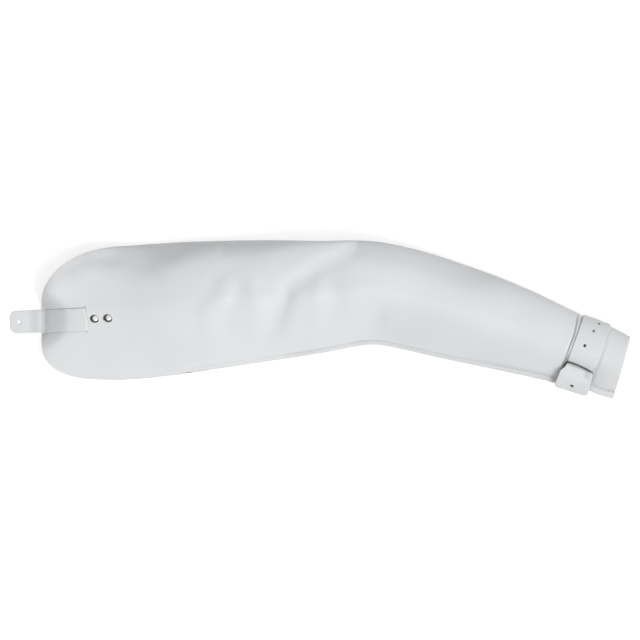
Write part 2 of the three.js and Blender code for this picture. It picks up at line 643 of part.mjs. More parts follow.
// Wrist strap with its punched holes and the prong's way through it, then the buckle
const heelFrame = cuffFrame(HEEL, BAR_HEIGHT, 0, BUCKLE_LENGTH);
let strap = solid(strapWall()).subtract(solid(geometryOf(prongSolid(PRONG_CLEAR)), heelFrame));
const punch = pin(STRAP_HOLE, 1.6 * STRAP_LEATHER);
const holes = STRAP_HOLES.map(({ up, side }) => cuffFrame(up, FIRST, side, 1));
holes.push(cuffFrame(TAIL_HOLE.up, TAIL_HOLE_HEIGHT, TAIL_HOLE.side, 1));
for (const hole of holes) strap = strap.subtract(solid(punch, hole));
addMesh("wrist_strap", geometryOf(strap), leather);
addMesh("buckle_frame", buckleGeometry(), nickel, heelFrame);
addMesh("buckle_prong", geometryOf(prongSolid()), nickel, heelFrame);

export default group;
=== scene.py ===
# %% [markdown]
# # A white leather arm protector
# One leather panel is folded along the outside of the arm, sewn along the inside, and left open under a
# rounded shoulder cap. A punched tab is riveted to the cap and a buckled strap closes the cuff. The packed
# model gives the sizes and places. This lesson dresses it: each surface is worked out as numpy arrays, put
# into a mesh, and given a finish made of nodes.

# %% Load the frame
import math

import bpy
import numpy as np
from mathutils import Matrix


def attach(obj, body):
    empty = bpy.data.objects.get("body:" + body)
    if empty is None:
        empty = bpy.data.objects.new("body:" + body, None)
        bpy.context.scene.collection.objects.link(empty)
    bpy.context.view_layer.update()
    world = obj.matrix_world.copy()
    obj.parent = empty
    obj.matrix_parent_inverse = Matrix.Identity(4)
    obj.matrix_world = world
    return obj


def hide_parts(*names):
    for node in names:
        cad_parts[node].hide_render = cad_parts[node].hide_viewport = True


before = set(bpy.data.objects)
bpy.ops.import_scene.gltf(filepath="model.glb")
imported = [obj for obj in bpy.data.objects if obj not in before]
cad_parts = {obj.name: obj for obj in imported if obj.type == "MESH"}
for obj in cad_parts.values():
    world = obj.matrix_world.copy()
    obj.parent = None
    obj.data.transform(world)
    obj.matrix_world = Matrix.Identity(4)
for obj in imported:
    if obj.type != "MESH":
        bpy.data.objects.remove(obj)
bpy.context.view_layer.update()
print("pieces in the frame:", ", ".join(sorted(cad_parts)))

# %% [markdown]
# ## Camera and light
# The protector lies on its side and is seen from straight above. A long lens from far away keeps both of
# its ends at one scale. The camera starts out looking down with +Y up the picture, so it needs no turn.

# %% Camera
MM = 0.001
PIXEL = 1.1  # millimetres of the object in one pixel of the picture
PICTURE = 640  # pixels along each side of the picture
CAMERA_HEIGHT = 8.0  # metres
CAMERA_Y = -1.1  # millimetres
SENSOR = 36
FAR_CLIP = 100

camera_data = bpy.data.cameras.new("camera")
camera_data.sensor_width = SENSOR
camera_data.lens = SENSOR * CAMERA_HEIGHT / (PICTURE * PIXEL * MM)
camera_data.clip_end = FAR_CLIP
camera = bpy.data.objects.new("camera", camera_data)
camera.location = (0, CAMERA_Y * MM, CAMERA_HEIGHT)
bpy.context.scene.collection.objects.link(camera)
bpy.context.scene.camera = camera
bpy.context.scene.view_settings.view_transform = "Standard"
print(f"lens {camera_data.lens:.0f} mm, {PICTURE * PIXEL:.0f} mm across the picture")

# %% [markdown]
# Light and finishes are trees of nodes in Blender. Each node's inputs are set to a value or linked to the
# output of another node, and these helpers do either.


# %% Nodes
def connect(tree, node, inputs):
    """Sets each input of a node, or links it to the socket that its value comes from."""
    for key, value in inputs.items():
        if isinstance(value, bpy.types.NodeSocket):
            tree.links.new(value, node.inputs[key])
        else:
            node.inputs[key].default_value = value


def add_node(tree, kind, inputs, **options):
    """Adds a node, sets its options and connects its inputs."""
    made = tree.nodes.new(kind)
    for option, value in options.items():
        setattr(made, option, value)
    connect(tree, made, inputs)
    return made


def spread(tree, value, low, high, to_low=0.0, to_high=1.0, **options):
    """A value moved from one range to another and held inside it."""
    inputs = {"Value": value, "From Min": low, "From Max": high, "To Min": to_low, "To Max": to_high}
    return add_node(tree, "ShaderNodeMapRange", inputs, **options).outputs["Result"]


# %% [markdown]
# White leather on a white floor shows its form only by soft shade. The upper part of the dome is bright,
# like a large softbox overhead, and its horizon is dark, so that steep leather turns grey and metal has
# something dark to mirror. A ring of lamps could do this too, but a dome shows no lamp's edge in the
# metal. One lamp from the wrist side draws the folds.

# %% World and lamp
HORIZON = 0.1
ZENITH = 1.3
SOFTBOX = (0.5, 0.82)  # how far up its axis the softbox begins, and where it is full
SOFTBOX_AXIS = (0.2, -0.1, 0.975)
SKY = (0.985, 0.992, 1.0, 1)
KEY_PLACE = (5.36, -4.32, 9.84)
KEY_SIZE = 3.2
KEY_POWER = 640


def add_world():
    """A dome that is dark up to the softbox's border and bright beyond it, by the share along its axis."""
    world = bpy.data.worlds.new("studio")
    world.use_nodes = True
    tree = world.node_tree
    toward = add_node(tree, "ShaderNodeTexCoord", {}).outputs["Generated"]
    upward = add_node(tree, "ShaderNodeVectorMath", {0: toward, 1: SOFTBOX_AXIS}, operation="DOT_PRODUCT")
    glow = spread(tree, upward.outputs["Value"], *SOFTBOX, HORIZON, ZENITH, interpolation_type="SMOOTHSTEP")
    connect(tree, tree.nodes["Background"], {"Strength": glow, "Color": SKY})
    bpy.context.scene.world = world


def add_lamp():
    """A square area lamp, aimed at the middle of the object and hidden from the camera."""
    data = bpy.data.lights.new("key_lamp", "AREA")
    data.shape = "SQUARE"
    data.size = KEY_SIZE
    data.energy = KEY_POWER
    lamp = bpy.data.objects.new("key_lamp", data)
    lamp.location = KEY_PLACE
    aim = -np.array(KEY_PLACE) / np.linalg.norm(KEY_PLACE)
    lamp.rotation_euler = (math.acos(-aim[2]), 0, math.atan2(-aim[0], aim[1]))
    lamp.visible_camera = False
    bpy.context.scene.collection.objects.link(lamp)


add_world()
add_lamp()

# %% [markdown]
# ## Curves
# A few smooth curves shape nearly everything below. They take whole arrays, so one call serves every point
# of a surface.


# %% Smooth curves
def unit(vectors):
    """Each vector divided by its own length."""
    return vectors / np.linalg.norm(vectors, axis=-1, keepdims=True)


def smoothstep(value, low, high):
    """0 up to low, 1 from high on, and 3t^2 - 2t^3 between them."""
    t = np.clip((value - low) / (high - low), 0, 1)
    return t * t * (3 - 2 * t)


def between(value, low, full, leaving, high):
    """A smooth step up from low to full, and down again from leaving to high."""
    return smoothstep(value, low, full) * (1 - smoothstep(value, leaving, high))


def bell(value, width):
    """A bell curve: e to the power of minus the square of value over width."""
    return np.exp(-((value / width) ** 2))


print(f"half way along, a smooth step is {smoothstep(0.5, 0, 1):.2f} and a bell {bell(0.5, 1):.2f}")

# %% [markdown]
# ## Walls
# A leather piece is a wall: a grid of points of its middle surface, moved out and in by half its thickness.
# Cells can be left out of the grid, and the wall then closes itself round every hole and edge. A Solidify
# modifier could thicken the surface too. Here the thickness is one more array, so worn edges are thinner.

# %% Meshes and walls
SHARP_ANGLE = math.radians(50)


def grid_normals(points):
    """Normals of a grid: the cross product of its steps down the rows and across the columns."""
    return unit(np.cross(np.gradient(points, axis=0), np.gradient(points, axis=1)))


def put_mesh(name, vertices, faces, values):
    """A smooth mesh object from vertices in millimetres, four-cornered faces and named vertex values."""
    used, corners = np.unique(faces, return_inverse=True)
    corners = corners.reshape(-1).astype(np.int32)
    mesh = bpy.data.meshes.new(name)
    mesh.vertices.add(len(used))
    mesh.vertices.foreach_set("co", (vertices[used] * MM).astype(np.float32).ravel())
    mesh.loops.add(len(corners))
    mesh.loops.foreach_set("vertex_index", corners)
    mesh.polygons.add(len(faces))
    mesh.polygons.foreach_set("loop_start", np.arange(0, len(corners), 4, dtype=np.int32))
    mesh.update(calc_edges=True)
    for key, value in values.items():
        layer = mesh.attributes.new(key, "FLOAT", "POINT")
        layer.data.foreach_set("value", value[used].astype(np.float32))
    mesh.polygons.foreach_set("use_smooth", np.ones(len(faces), bool))
    mesh.set_sharp_from_angle(angle=SHARP_ANGLE)
    piece = bpy.data.objects.new(name, mesh)
    bpy.context.scene.collection.objects.link(piece)
    print(f"{name}: {len(used)} vertices, {len(faces)} faces")
    return piece


def wall_faces(kept):
    """Faces of a closed wall over a grid of cells: the kept cells on the outer and the inner side, and a
    strip between the two sides along each cell edge that has a kept cell on one side only."""
    rows, columns = kept.shape
    size = (rows + 1) * (columns + 1)
    index = np.arange(size).reshape(rows + 1, columns + 1)
    a, b, c, d = index[:-1, :-1], index[1:, :-1], index[1:, 1:], index[:-1, 1:]
    faces = [np.stack([a, b, c, d], -1)[kept], np.stack([a, d, c, b], -1)[kept] + size]
    around = np.pad(kept, 1)
    left, right = around[1:-1, :-2], around[1:-1, 2:]
    above, below = around[:-2, 1:-1], around[2:, 1:-1]
    for first, second, beyond in ((b, a, left), (d, c, right), (a, d, above), (c, b, below)):
        p, q = first[kept & ~beyond], second[kept & ~beyond]
        faces.append(np.stack([p, q, q + size, p + size], -1))
    return np.concatenate(faces)


def add_wall(name, middle, half, kept, values):
    """A closed wall about a middle surface: half is half the thickness at each point."""
    normals = grid_normals(middle)
    outer = middle + normals * half[..., None]
    inner = middle - normals * half[..., None]
    vertices = np.concatenate([outer.reshape(-1, 3), inner.reshape(-1, 3)])
    both = {key: np.tile(value.ravel(), 2) for key, value in values.items()}
    both["inside"] = np.repeat([0.0, 1.0], middle.shape[0] * middle.shape[1])
    return put_mesh(name, vertices, wall_faces(kept), both)


print("a wall over one cell has", len(wall_faces(np.ones((1, 1), bool))), "faces")

# %% [markdown]
# ## The sleeve's sections
# The sleeve is one panel that goes round the arm: an upper layer, a rounded fold, and a lower layer. The
# table gives a section every few centimetres from shoulder to wrist, in millimetres, and a cubic joins
# them. A sculpted or simulated cloth could give such a form too, but a table stays in step with the
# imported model. The cap's sections are alike but for their heights, so they share one row.

# %% Sections of the sleeve
SHOULDER_X = -305.8
CAP_HEIGHTS = [
    # along, crown, share of it at the nose
    (0, 2.6, 0.8),
    (5, 5.2, 0.8),
    (10, 10.8, 0.8),
    (20, 19.8, 0.8),
    (27, 25, 0.8),
    (32, 26.8, 0.8),
    (40, 28.2, 0.8),
    (60, 30.5, 0.85),
    (86, 33, 0.72),
]
COLUMNS = (
    "along", "fold_x", "fold_y", "seam_x", "seam_y", "crown", "nose", "margin", "lift", "rise", "square"
)
SECTIONS = np.array(
    [
        *[
            (along, SHOULDER_X + along, 79.8, SHOULDER_X + along, -67.0, crown, nose, 6.3, 0, 1.2, 2)
            for along, crown, nose in CAP_HEIGHTS
        ],
        (120, -185.8, 82.4, -185.8, -64.4, 37.5, 0.45, 6.3, 0, 1.2, 2),
        (160, -145, 84.8, -145, -59.4, 41, 0.42, 6.3, 0, 1.2, 2.2),
        (240, -65, 86.6, -65, -47.7, 44, 0.42, 6.3, 0, 1.2, 3.5),
        (305, 0, 85.6, 0, -37.8, 45, 0.8, 6.3, 0, 1.2, 5),
        (360, 56, 85.4, 53, -28.2, 46, 0.8, 6.3, 0, 1.2, 4),
        (412, 105, 76.2, 82, -31.5, 44, 0.78, 6.3, 0, 1.2, 3.4),
        (470, 160, 59.2, 131, -42.6, 41, 0.58, 6.3, 0, 1.2, 2.3),
        (532, 222, 35.6, 194, -55.8, 36, 0.42, 6.8, 0, 0.88, 2),
        (586, 275, 10.6, 248, -67.6, 32, 0.42, 7.3, 1, 0.8, 2),
        (596, 283.5, 5.9, 257, -69.9, 32, 0.42, 7.3, 2, 0.85, 2),
        (603, 289.7, 2.1, 264.3, -67.2, 31.5, 0.42, 7.8, 2.7, 0.95, 2),
        (620, 305.7, -3.7, 280.3, -73.0, 31.5, 0.42, 8.3, 2.7, 1, 2),
        (637, 321.7, -9.5, 296.3, -78.8, 31.5, 0.42, 8.5, 2.7, 0.92, 2),
        (645, 328.3, -12.8, 305.0, -82.8, 31.7, 0.42, 8.5, 2.3, 0.87, 2),
        (660, 340.6, -19.1, 322.4, -87.6, 32, 0.42, 8.5, 1.5, 0.78, 2),
    ],
    dtype=[(name, float) for name in COLUMNS],
)
WRIST_END = SECTIONS["along"][-1]


def spline(column, along):
    """A cubic through one column: at each row its slope is that between the two rows beside it."""
    knots, values = SECTIONS["along"], SECTIONS[column]
    rows = np.arange(len(knots))
    after, before = np.minimum(rows + 1, rows[-1]), np.maximum(rows - 1, 0)
    slopes = (values[after] - values[before]) / (knots[after] - knots[before])
    i = np.clip(np.searchsorted(knots, along, side="right") - 1, 0, rows[-1] - 1)
    step = knots[i + 1] - knots[i]
    t = np.clip((along - knots[i]) / step, 0, 1)
    bend = t * (1 - t) ** 2 * step * slopes[i] + t * t * (t - 1) * step * slopes[i + 1]
    return values[i] + (values[i + 1] - values[i]) * smoothstep(t, 0, 1) + bend


print(f"sleeve: {len(SECTIONS)} sections over {WRIST_END:.0f} mm")

# %% [markdown]
# A section starts as a seam point, a direction to the fold, a width and a few heights. The cap's corners
# are bent up nearer to the end than its middle is, where the tab holds it down.

# %% Measures of a section
SLEEVE_LEATHER = 2.0
GAP = 0.3
SEAM_START = 160
SEAM_CLOSING = 50  # the layers come together over this length before the seam's start
CORNER_LIFT = 22
SEAM_CORNER = (10, 41)  # from the middle of the cap: where the lift begins, and where it is full
FOLD_CORNER = (9, 34)
LIFT_ENDS = (25, 70)  # along the cap: where the lift fades out


def station(along):
    """The section at each place along the sleeve: seam point, direction to the fold, width and heights."""
    seam = np.stack([spline("seam_x", along), spline("seam_y", along)], -1)
    fold = np.stack([spline("fold_x", along), spline("fold_y", along)], -1)
    low = np.maximum(spline("lift", along), 0) + SLEEVE_LEATHER / 2
    sewn = smoothstep(along, SEAM_START - SEAM_CLOSING, SEAM_START)
    crown = spline("crown", along)
    share = spline("nose", along)
    return {
        "seam": seam,
        "across": unit(fold - seam),
        "width": np.linalg.norm(fold - seam, axis=-1) - SLEEVE_LEATHER / 2,
        "low": low,
        "top": low + (SLEEVE_LEATHER + GAP) * sewn,
        "crown": crown,
        "nose": low + (crown - low) * share,
        "share": share,
        "square": spline("square", along),
        "margin": spline("margin", along),
        "rise": spline("rise", along),
    }


def bent(s, along, y):
    """The section with the cap's corners lifted: away from the tab the cap is bent nearer to its end, so
    its height there is that of a place further on."""
    further = CORNER_LIFT * (smoothstep(-y, *SEAM_CORNER) + smoothstep(y, *FOLD_CORNER))
    crown = spline("crown", along + further * (1 - smoothstep(along, *LIFT_ENDS)))
    return {**s, "crown": crown, "nose": s["low"] + (crown - s["low"]) * s["share"]}


first_width = station(np.array([float(SEAM_START)]))["width"][0]
print(f"sleeve at the seam's start: {first_width:.0f} mm wide")

# %% [markdown]
# A section is drawn from its seam edge, over the crown to the fold, and back under. Each stretch has a
# simple curve of its own, and numpy's select picks the right one for every point at once.

# %% Points of a section
CROWN_SHARE = 0.58  # share of the width at which the crown lies
UNDER_SHARE = 0.8  # and at which the underside leaves the floor
RISE_SPREAD = 1.2


def section_point(s, v):
    """Distance from the seam edge, height, and how loose the leather is there. v goes round the panel: to 1
    the upper margin, to 2 a sine rise to the crown, to 3 a rounded square turn to the nose, whose power is
    that of the section, to 4 a quarter ellipse under, to 5 flat on the floor, to 6 the lower margin."""
    crown_at, under_at = CROWN_SHARE * s["width"], UNDER_SHARE * s["width"]
    share = np.clip(v - 1, 0, 1) ** RISE_SPREAD
    swell = np.sin(np.pi / 2 * share)
    turn = np.pi / 2 * (v - np.floor(v))
    squared = np.maximum(1 - np.sin(turn) ** s["square"], 0) ** (1 / s["square"])
    on = [v < 1, v < 2, v < 3, v < 4, v < 5]
    q = np.select(
        on,
        [
            s["margin"] * v,
            s["margin"] + (crown_at - s["margin"]) * share,
            crown_at + (s["width"] - crown_at) * np.sin(turn),
            under_at + (s["width"] - under_at) * np.cos(turn),
            under_at + (s["margin"] - under_at) * (v - 4),
        ],
        s["margin"] * (6 - v),
    )
    z = np.select(
        on[:4],
        [
            s["top"],
            s["top"] + (s["crown"] - s["top"]) * swell ** s["rise"],
            s["nose"] + (s["crown"] - s["nose"]) * squared,
            s["nose"] - (s["nose"] - s["low"]) * np.sin(turn),
        ],
        s["low"],
    )
    loose = np.select(on[:3], [0 * v, swell, np.cos(turn)], 0)
    return q, z, loose


def smooth_sheet(along, v):
    """The panel's middle surface without its creases, and how loose the leather is there."""
    s = station(along)
    q, _, _ = section_point(s, v)
    plan = s["seam"] + s["across"] * q[..., None]
    _, z, loose = section_point(bent(s, along, plan[..., 1]), v)
    return np.concatenate([plan, z[..., None]], -1), loose


first_crown, _ = smooth_sheet(np.array([float(SEAM_START)]), np.array([2.0]))
print(f"crown at the seam's start: {first_crown[0, 2]:.0f} mm over the floor")

# %% [markdown]
# ## Folds and creases
# Soft leather keeps the folds of the arm that wore it. Each row below is one fold seen from above: its
# height, its half width and the points that its line passes through. A ridge or valley is a bell curve of
# the distance from that line. A slope lets the leather fall away steadily on the left of its line.

# %% Creases of the upper layer
RIDGES = [
    # height, half width, line
    (-2.2, 12, [(32, 79), (21, 66), (-3, 54), (-13, 45), (-31, 34), (-41, 10), (-48, -17), (-58, -27)]),
    (5, 24, [(-302, 36), (-290, 52), (-272, 68)]),
    (-3, 10, [(-274, 58), (-253, 66), (-230, 68)]),
    (1.2, 11, [(-105, 36), (-106, 27), (-121, 10), (-121, -8), (-119, -25)]),
    (1.6, 11, [(-75, 36), (-70, 19), (-72, -17)]),
    (1.2, 10, [(-2, 36), (-5, 10), (-6, -17)]),
    (1.5, 13, [(-57, 58), (-45, 50), (-20, 62), (10, 82)]),
    (-0.7, 9, [(-86, 63), (-112, 45), (-122, 27), (-138, 10)]),
    (-0.7, 9, [(-88, 36), (-93, 19), (-99, -8)]),
    (-1.1, 11, [(15, 36), (20, 19), (13, -17)]),
    (-1.8, 7, [(67, 1), (63, -8), (60, -17)]),
    (-1.5, 5, [(36, -19), (50, -21)]),
    (-1.6, 6, [(-148, -45), (-125, -42)]),
    (-1.5, 6, [(-44, -38), (-22, -35)]),
    (-1.3, 8, [(82, -18), (94, -23)]),
    (-1.7, 6, [(108, -32), (123, -34)]),
    (-0.4, 1.6, [(72, 1), (70, -9)]),
    (-0.4, 1.6, [(136, -13), (136, -25)]),
    (-1.2, 1.1, [(283, 6), (278, -18), (273, -31), (269, -44)]),
    (1.6, 1.7, [(286.5, 4), (283.2, -6), (279.9, -17), (274.6, -31), (271.2, -40)]),
    (-1.7, 8, [(-36, 26), (-41, 10), (-48, -17), (-56, -27)]),
    (-3.0, 5, [(269, -44), (260, -60), (254, -70)]),
]
SLOPES = [
    # fall per millimetre, half width, fade past its end, line
    (0.15, 6, 10, [(-285, 45), (-262, 48), (-235, 48), (-215, 46)]),
    (0.27, 5, 10, [(-242, 58), (-207, 46), (-180, 45), (-163, 63)]),
    (0.46, 3, 10, [(-170, 56), (-138, 68), (-116, 74), (-88, 78), (-66, 84)]),
    (0.36, 3, 10, [(-102, 68), (-84, 70), (-67, 72), (-44, 76), (-16, 85)]),
    (0.35, 5, 35, [(40, 64), (60, 61), (95, 53), (140, 38), (150, 34.5)]),
]
SLOPE_START = 10  # a slope fades in over this length before its line
FINE = 1.5  # valleys narrower than this are sharp and get painted shade
print(f"{len(RIDGES)} ridges and valleys, {len(SLOPES)} slopes")

# %% [markdown]
# The lines are made smooth first. Every point of the sleeve then finds the nearest point of a line, and
# from it how far it lies to the side and past the line's end. Sculpting by hand would be quicker to start,
# but numbers can be changed one fold at a time.


# %% Heights of the creases
def smooth_line(points, count=60):
    """A smooth curve through a few points: centripetal Catmull-Rom, as pieces of cubic between them."""
    p = np.array(points, float)
    p = np.concatenate([[2 * p[0] - p[1]], p, [2 * p[-1] - p[-2]]])
    gaps = np.linalg.norm(np.diff(p, axis=0), axis=1) ** 0.5
    place = np.linspace(0, len(points) - 1, count, endpoint=True)
    i = np.minimum(place.astype(int), len(points) - 2)
    t = (place - i)[:, None]
    g0, g1, g2 = gaps[i][:, None], gaps[i + 1][:, None], gaps[i + 2][:, None]
    p0, p1, p2, p3 = p[i], p[i + 1], p[i + 2], p[i + 3]
    leave = ((p1 - p0) / g0 - (p2 - p0) / (g0 + g1) + (p2 - p1) / g1) * g1
    arrive = ((p2 - p1) / g1 - (p3 - p1) / (g1 + g2) + (p3 - p2) / g2) * g1
    cubic = 2 * p1 - 2 * p2 + leave + arrive
    square = -3 * p1 + 3 * p2 - 2 * leave - arrive
    return p1 + leave * t + square * t**2 + cubic * t**3


def from_line(plan, points):
    """Signed distance of plan points from a line, positive on its left, and how far they lie past its end,
    which is negative before its start."""
    line = smooth_line(points)
    tangent = unit(np.gradient(line, axis=0))
    flat = plan.reshape(-1, 2)
    nearest = np.argmin(((flat[:, None] - line[None]) ** 2).sum(-1), axis=1)
    offset = flat - line[nearest]
    ahead = tangent[nearest]
    side = ahead[:, 0] * offset[:, 1] - ahead[:, 1] * offset[:, 0]
    past = (offset * ahead).sum(-1)
    return side.reshape(plan.shape[:-1]), past.reshape(plan.shape[:-1])


def ridge_share(plan, width, points):
    """Share of a ridge's height at plan points: bell curves of the distance to its side and past its end."""
    side, past = from_line(plan, points)
    return bell(side, width) * bell(past, width)


def ridge_heights(plan):
    """Height added by all ridges and valleys at each plan point."""
    return sum(height * ridge_share(plan, width, points) for height, width, points in RIDGES)


def fine_creases(plan):
    """Share of the painted shade that the sharpest valleys get, which are those narrower than FINE."""
    sharp = [(width, points) for height, width, points in RIDGES if height < 0 and width < FINE]
    return np.maximum.reduce([ridge_share(plan, width, points) for width, points in sharp])


def slope_falls(plan):
    """How far the leather has fallen at each plan point. A slope's fall grows as the logarithm of
    1 + e^(distance over width), which is 0 far to the right of its line and straight far to the left. Where
    slopes overlap the deepest counts."""
    deepest = np.zeros(plan.shape[:-1])
    for fall, width, fade, points in SLOPES:
        side, past = from_line(plan, points)
        run_out = bell(past, np.where(past > 0, fade, SLOPE_START))
        deepest = np.maximum(deepest, fall * width * np.logaddexp(0, side / width) * run_out)
    return deepest


first_line = RIDGES[0][2]
print(f"first valley: {len(smooth_line(first_line))} points on a line through {len(first_line)}")

# %% [markdown]
# ## The shoulder tab's line
# The tab lies flat at its free end, climbs over the edge of the cap, and dives through a slit to be riveted
# underneath. Its line is needed first, because the sleeve's leather gives way to it at the slit.

# %% Line of the tab
STRAP_LEATHER = 2.2
TAB_WIDTH = 25
TAB_TIP = np.array([-340.7, -3.9])
TAB_TURN = math.radians(2.4)
TAB_AXIS = np.array([math.cos(TAB_TURN), math.sin(TAB_TURN)])
TAB_SIDE = np.array([-TAB_AXIS[1], TAB_AXIS[0]])
TAB_LENGTH = 118
TAB_FLAT = 20  # this much of its free end lies on the floor
TAB_SEAT = 0.5
TAB_DIVE = (83.0, 87.4)  # from the free end: where the tab starts and ends going down
TAB_PRESS = 1.3  # how far the tab sinks into the cap
SLIT = 84.4  # from the free end to the slit in the cap
SLIT_WAVES = [(1.6, -5, 5), (-0.8, 10, 6)]  # pull along the tab, place across it, half width
CLEAR = SLEEVE_LEATHER / 2 + TAB_SEAT + STRAP_LEATHER / 2
CAP_ROUNDS = np.linspace(1, 2.999, 160)  # places round the cap, from its margin to its fold


def tab_plan(from_end, sideways):
    """Plan point of the tab: its tip, plus a length along its axis, plus a length to its side."""
    return TAB_TIP + from_end[..., None] * TAB_AXIS + sideways[..., None] * TAB_SIDE


def slit_wave(sideways):
    """How far the slit's line is pulled along the tab: a sum of bell curves across it."""
    return sum(pull * bell(sideways - place, width) for pull, place, width in SLIT_WAVES)


def tab_offset(from_end, sideways):
    """Height of the tab's middle over that of the cap: clear above it, then clear below it."""
    dive = smoothstep(from_end - slit_wave(sideways), *TAB_DIVE)
    return CLEAR - TAB_PRESS - (2 * CLEAR - TAB_PRESS) * dive


def cap_height(plan):
    """Height of the smooth cap over plan points. Its sections are square to X, so the place along it is
    known, and the place round it is read off a fine section by interpolation."""
    along = np.maximum(plan[..., 0] - SHOULDER_X, 0)
    s = bent(station(along), along, plan[..., 1])
    wide = {key: (value[..., None] if value.ndim == along.ndim else value) for key, value in s.items()}
    q, z, _ = section_point(wide, np.broadcast_to(CAP_ROUNDS, along.shape + CAP_ROUNDS.shape))
    wanted = (plan[..., 1] - s["seam"][..., 1])[..., None]
    i = np.clip((q < wanted).sum(-1) - 1, 0, len(CAP_ROUNDS) - 2)[..., None]
    q0, q1 = np.take_along_axis(q, i, -1), np.take_along_axis(q, i + 1, -1)
    z0, z1 = np.take_along_axis(z, i, -1), np.take_along_axis(z, i + 1, -1)
    return (z0 + (z1 - z0) * (wanted - q0) / (q1 - q0))[..., 0]


def from_tab(plan):
    """Length along the tab and to its side, for plan points."""
    return (plan - TAB_TIP) @ TAB_AXIS, (plan - TAB_TIP) @ TAB_SIDE


print(f"tab: {TAB_LENGTH} mm long, slit {SLIT} mm from its free end")

# %% [markdown]
# ## The sleeve's edge
# The panel's edge is straight under the tab, rounded at both corners of the cap, and bowed in the lower
# layer, so that the arm goes in under the cap. A corner is the curve 1 - (1 - t^p)^(1/p): a power of 2
# gives a quarter of an ellipse, and a higher power a squarer corner.

# %% Edge of the panel
CAP_FOLD_REACH = 86
CAP_STRAIGHT = (-16.0, 14.5)
CAP_FOLD_CORNER = (86, 2.0)  # reach and power
CAP_SEAM_CORNER = (82, 3.0)
BACK_EDGE_POWER = 0.8


def panel_start(v):
    """Where the panel starts along the sleeve: rounded corners of the cap above, a bowed edge below."""
    s = station(np.full(v.shape, float(CAP_FOLD_REACH)))
    q, _, _ = section_point(s, v)
    y = s["seam"][..., 1] + q
    seam_end, fold_end = CAP_STRAIGHT
    fold_side = np.clip((y - fold_end) / (s["seam"][..., 1] + s["width"] - fold_end), 0, 1)
    seam_side = np.clip((seam_end - y) / (seam_end - s["seam"][..., 1]), 0, 1)
    corner = 0
    for out, (reach, power) in ((fold_side, CAP_FOLD_CORNER), (seam_side, CAP_SEAM_CORNER)):
        corner = corner + reach * (1 - (1 - out**power) ** (1 / power))
    bow = np.clip(1 - q / s["width"], 0, 1) ** BACK_EDGE_POWER
    return np.where(v > 3, CAP_FOLD_REACH + (SEAM_START - CAP_FOLD_REACH) * bow, corner)


print(f"cap corners: {CAP_FOLD_CORNER[0]} and {CAP_SEAM_CORNER[0]} mm deep")

# %% [markdown]
# ## The sleeve's grid
# Rows run from shoulder to wrist and columns round the arm. Rows lie closer where small creases are: at
# the cap's edge and beside the wrist strap. One narrow row is left open as the slit for the tab, and the
# rows near it follow the slit's wavy line.

# %% Rows and columns
SLIT_ALONG = TAB_TIP[0] + SLIT * TAB_AXIS[0] - SHOULDER_X
SLIT_WIDTH = 0.5
SLIT_REACH = 9  # rows this near to the slit follow its line
RISE_COLUMNS = 60
TURN_COLUMNS = 46
TURN_CROWD = 1.4  # columns crowd towards the fold by this power
UNDER_COLUMNS = 12
FLOOR_COLUMNS = 10
UPPER_MARGIN = [0, 0.05, 0.14, 0.3, 0.5, 0.64, 0.72, 0.8, 0.9]
LOWER_MARGIN = [5, 5.4, 5.8, 5.94, 6]


def graded(*stretches):
    """Places along a line from 0: each stretch, given as its end and its step, is cut evenly."""
    places = [np.zeros(1)]
    for end, step in stretches:
        start = places[-1][-1]
        count = max(1, round((end - start) / step))
        places.append(start + (end - start) * np.arange(1, count + 1) / count)
    return np.concatenate(places)


rounds = np.concatenate(
    [
        UPPER_MARGIN,
        1 + np.arange(RISE_COLUMNS) / RISE_COLUMNS,
        3 - (1 - np.arange(TURN_COLUMNS) / TURN_COLUMNS) ** TURN_CROWD,
        3 + np.arange(UNDER_COLUMNS) / UNDER_COLUMNS,
        4 + np.arange(FLOOR_COLUMNS) / FLOOR_COLUMNS,
        LOWER_MARGIN,
    ]
)
cap_rows = [(0.3, 0.3), (0.9, 0.6), (18, 0.45)]
slit_rows = [(SLIT_ALONG - SLIT_WIDTH / 2, 0.95), (SLIT_ALONG + SLIT_WIDTH / 2, 1), (62, 0.95)]
arm_rows = [(90, 1.6), (570, 3.0), (602, 0.6), (634, 4)]
cuff_rows = [(658.6, 2.2), (659.5, 0.9), (WRIST_END, 0.5)]
lengths = graded(*cap_rows, *slit_rows, *arm_rows, *cuff_rows)
v = np.broadcast_to(rounds, (len(lengths), len(rounds)))
start = panel_start(v)
along = start + (WRIST_END - start) * (lengths / WRIST_END)[:, None]
_, beside_tab = from_tab(smooth_sheet(along, v)[0][..., :2])
along = along + slit_wave(beside_tab) * bell(lengths - SLIT_ALONG, SLIT_REACH)[:, None] * (v < 3)
sheet, loose = smooth_sheet(along, v)
plan = sheet[..., :2]
section = station(along)
print(f"sleeve grid: {sheet.shape[0]} rows, {sheet.shape[1]} columns")

# %% [markdown]
# ## The sleeve's relief
# Creases show on the loose part of the upper layer, and the wrist strap presses it smooth. A slope mustn't
# push the fold into the floor, so a hyperbolic tangent keeps its fall within the room there. The slit's
# left lip is pressed under the tab and its right lip stands over it.

# %% Relief of the sleeve
UPPER_EASE = 0.4
STRAP_BAND = (600.8, 602.2, 634, 637)  # the sleeve is smooth under the wrist strap
FOLD_ROUND = 3.0  # least height of the fold's nose over the floor
LEAST_ROOM = 0.1
WRINKLES_AT = (-299, 24)
WRINKLE_REACH = (7, 12)
WRINKLE_SLANT = 0.24
WRINKLE_STEP = 2.9
WRINKLE_HEIGHT = 0.4
LIP_ENDS = (TAB_WIDTH / 2 - 0.5, TAB_WIDTH / 2 + 2.5)
LIP_LIFT = 0.9
LIP_FADE = 4


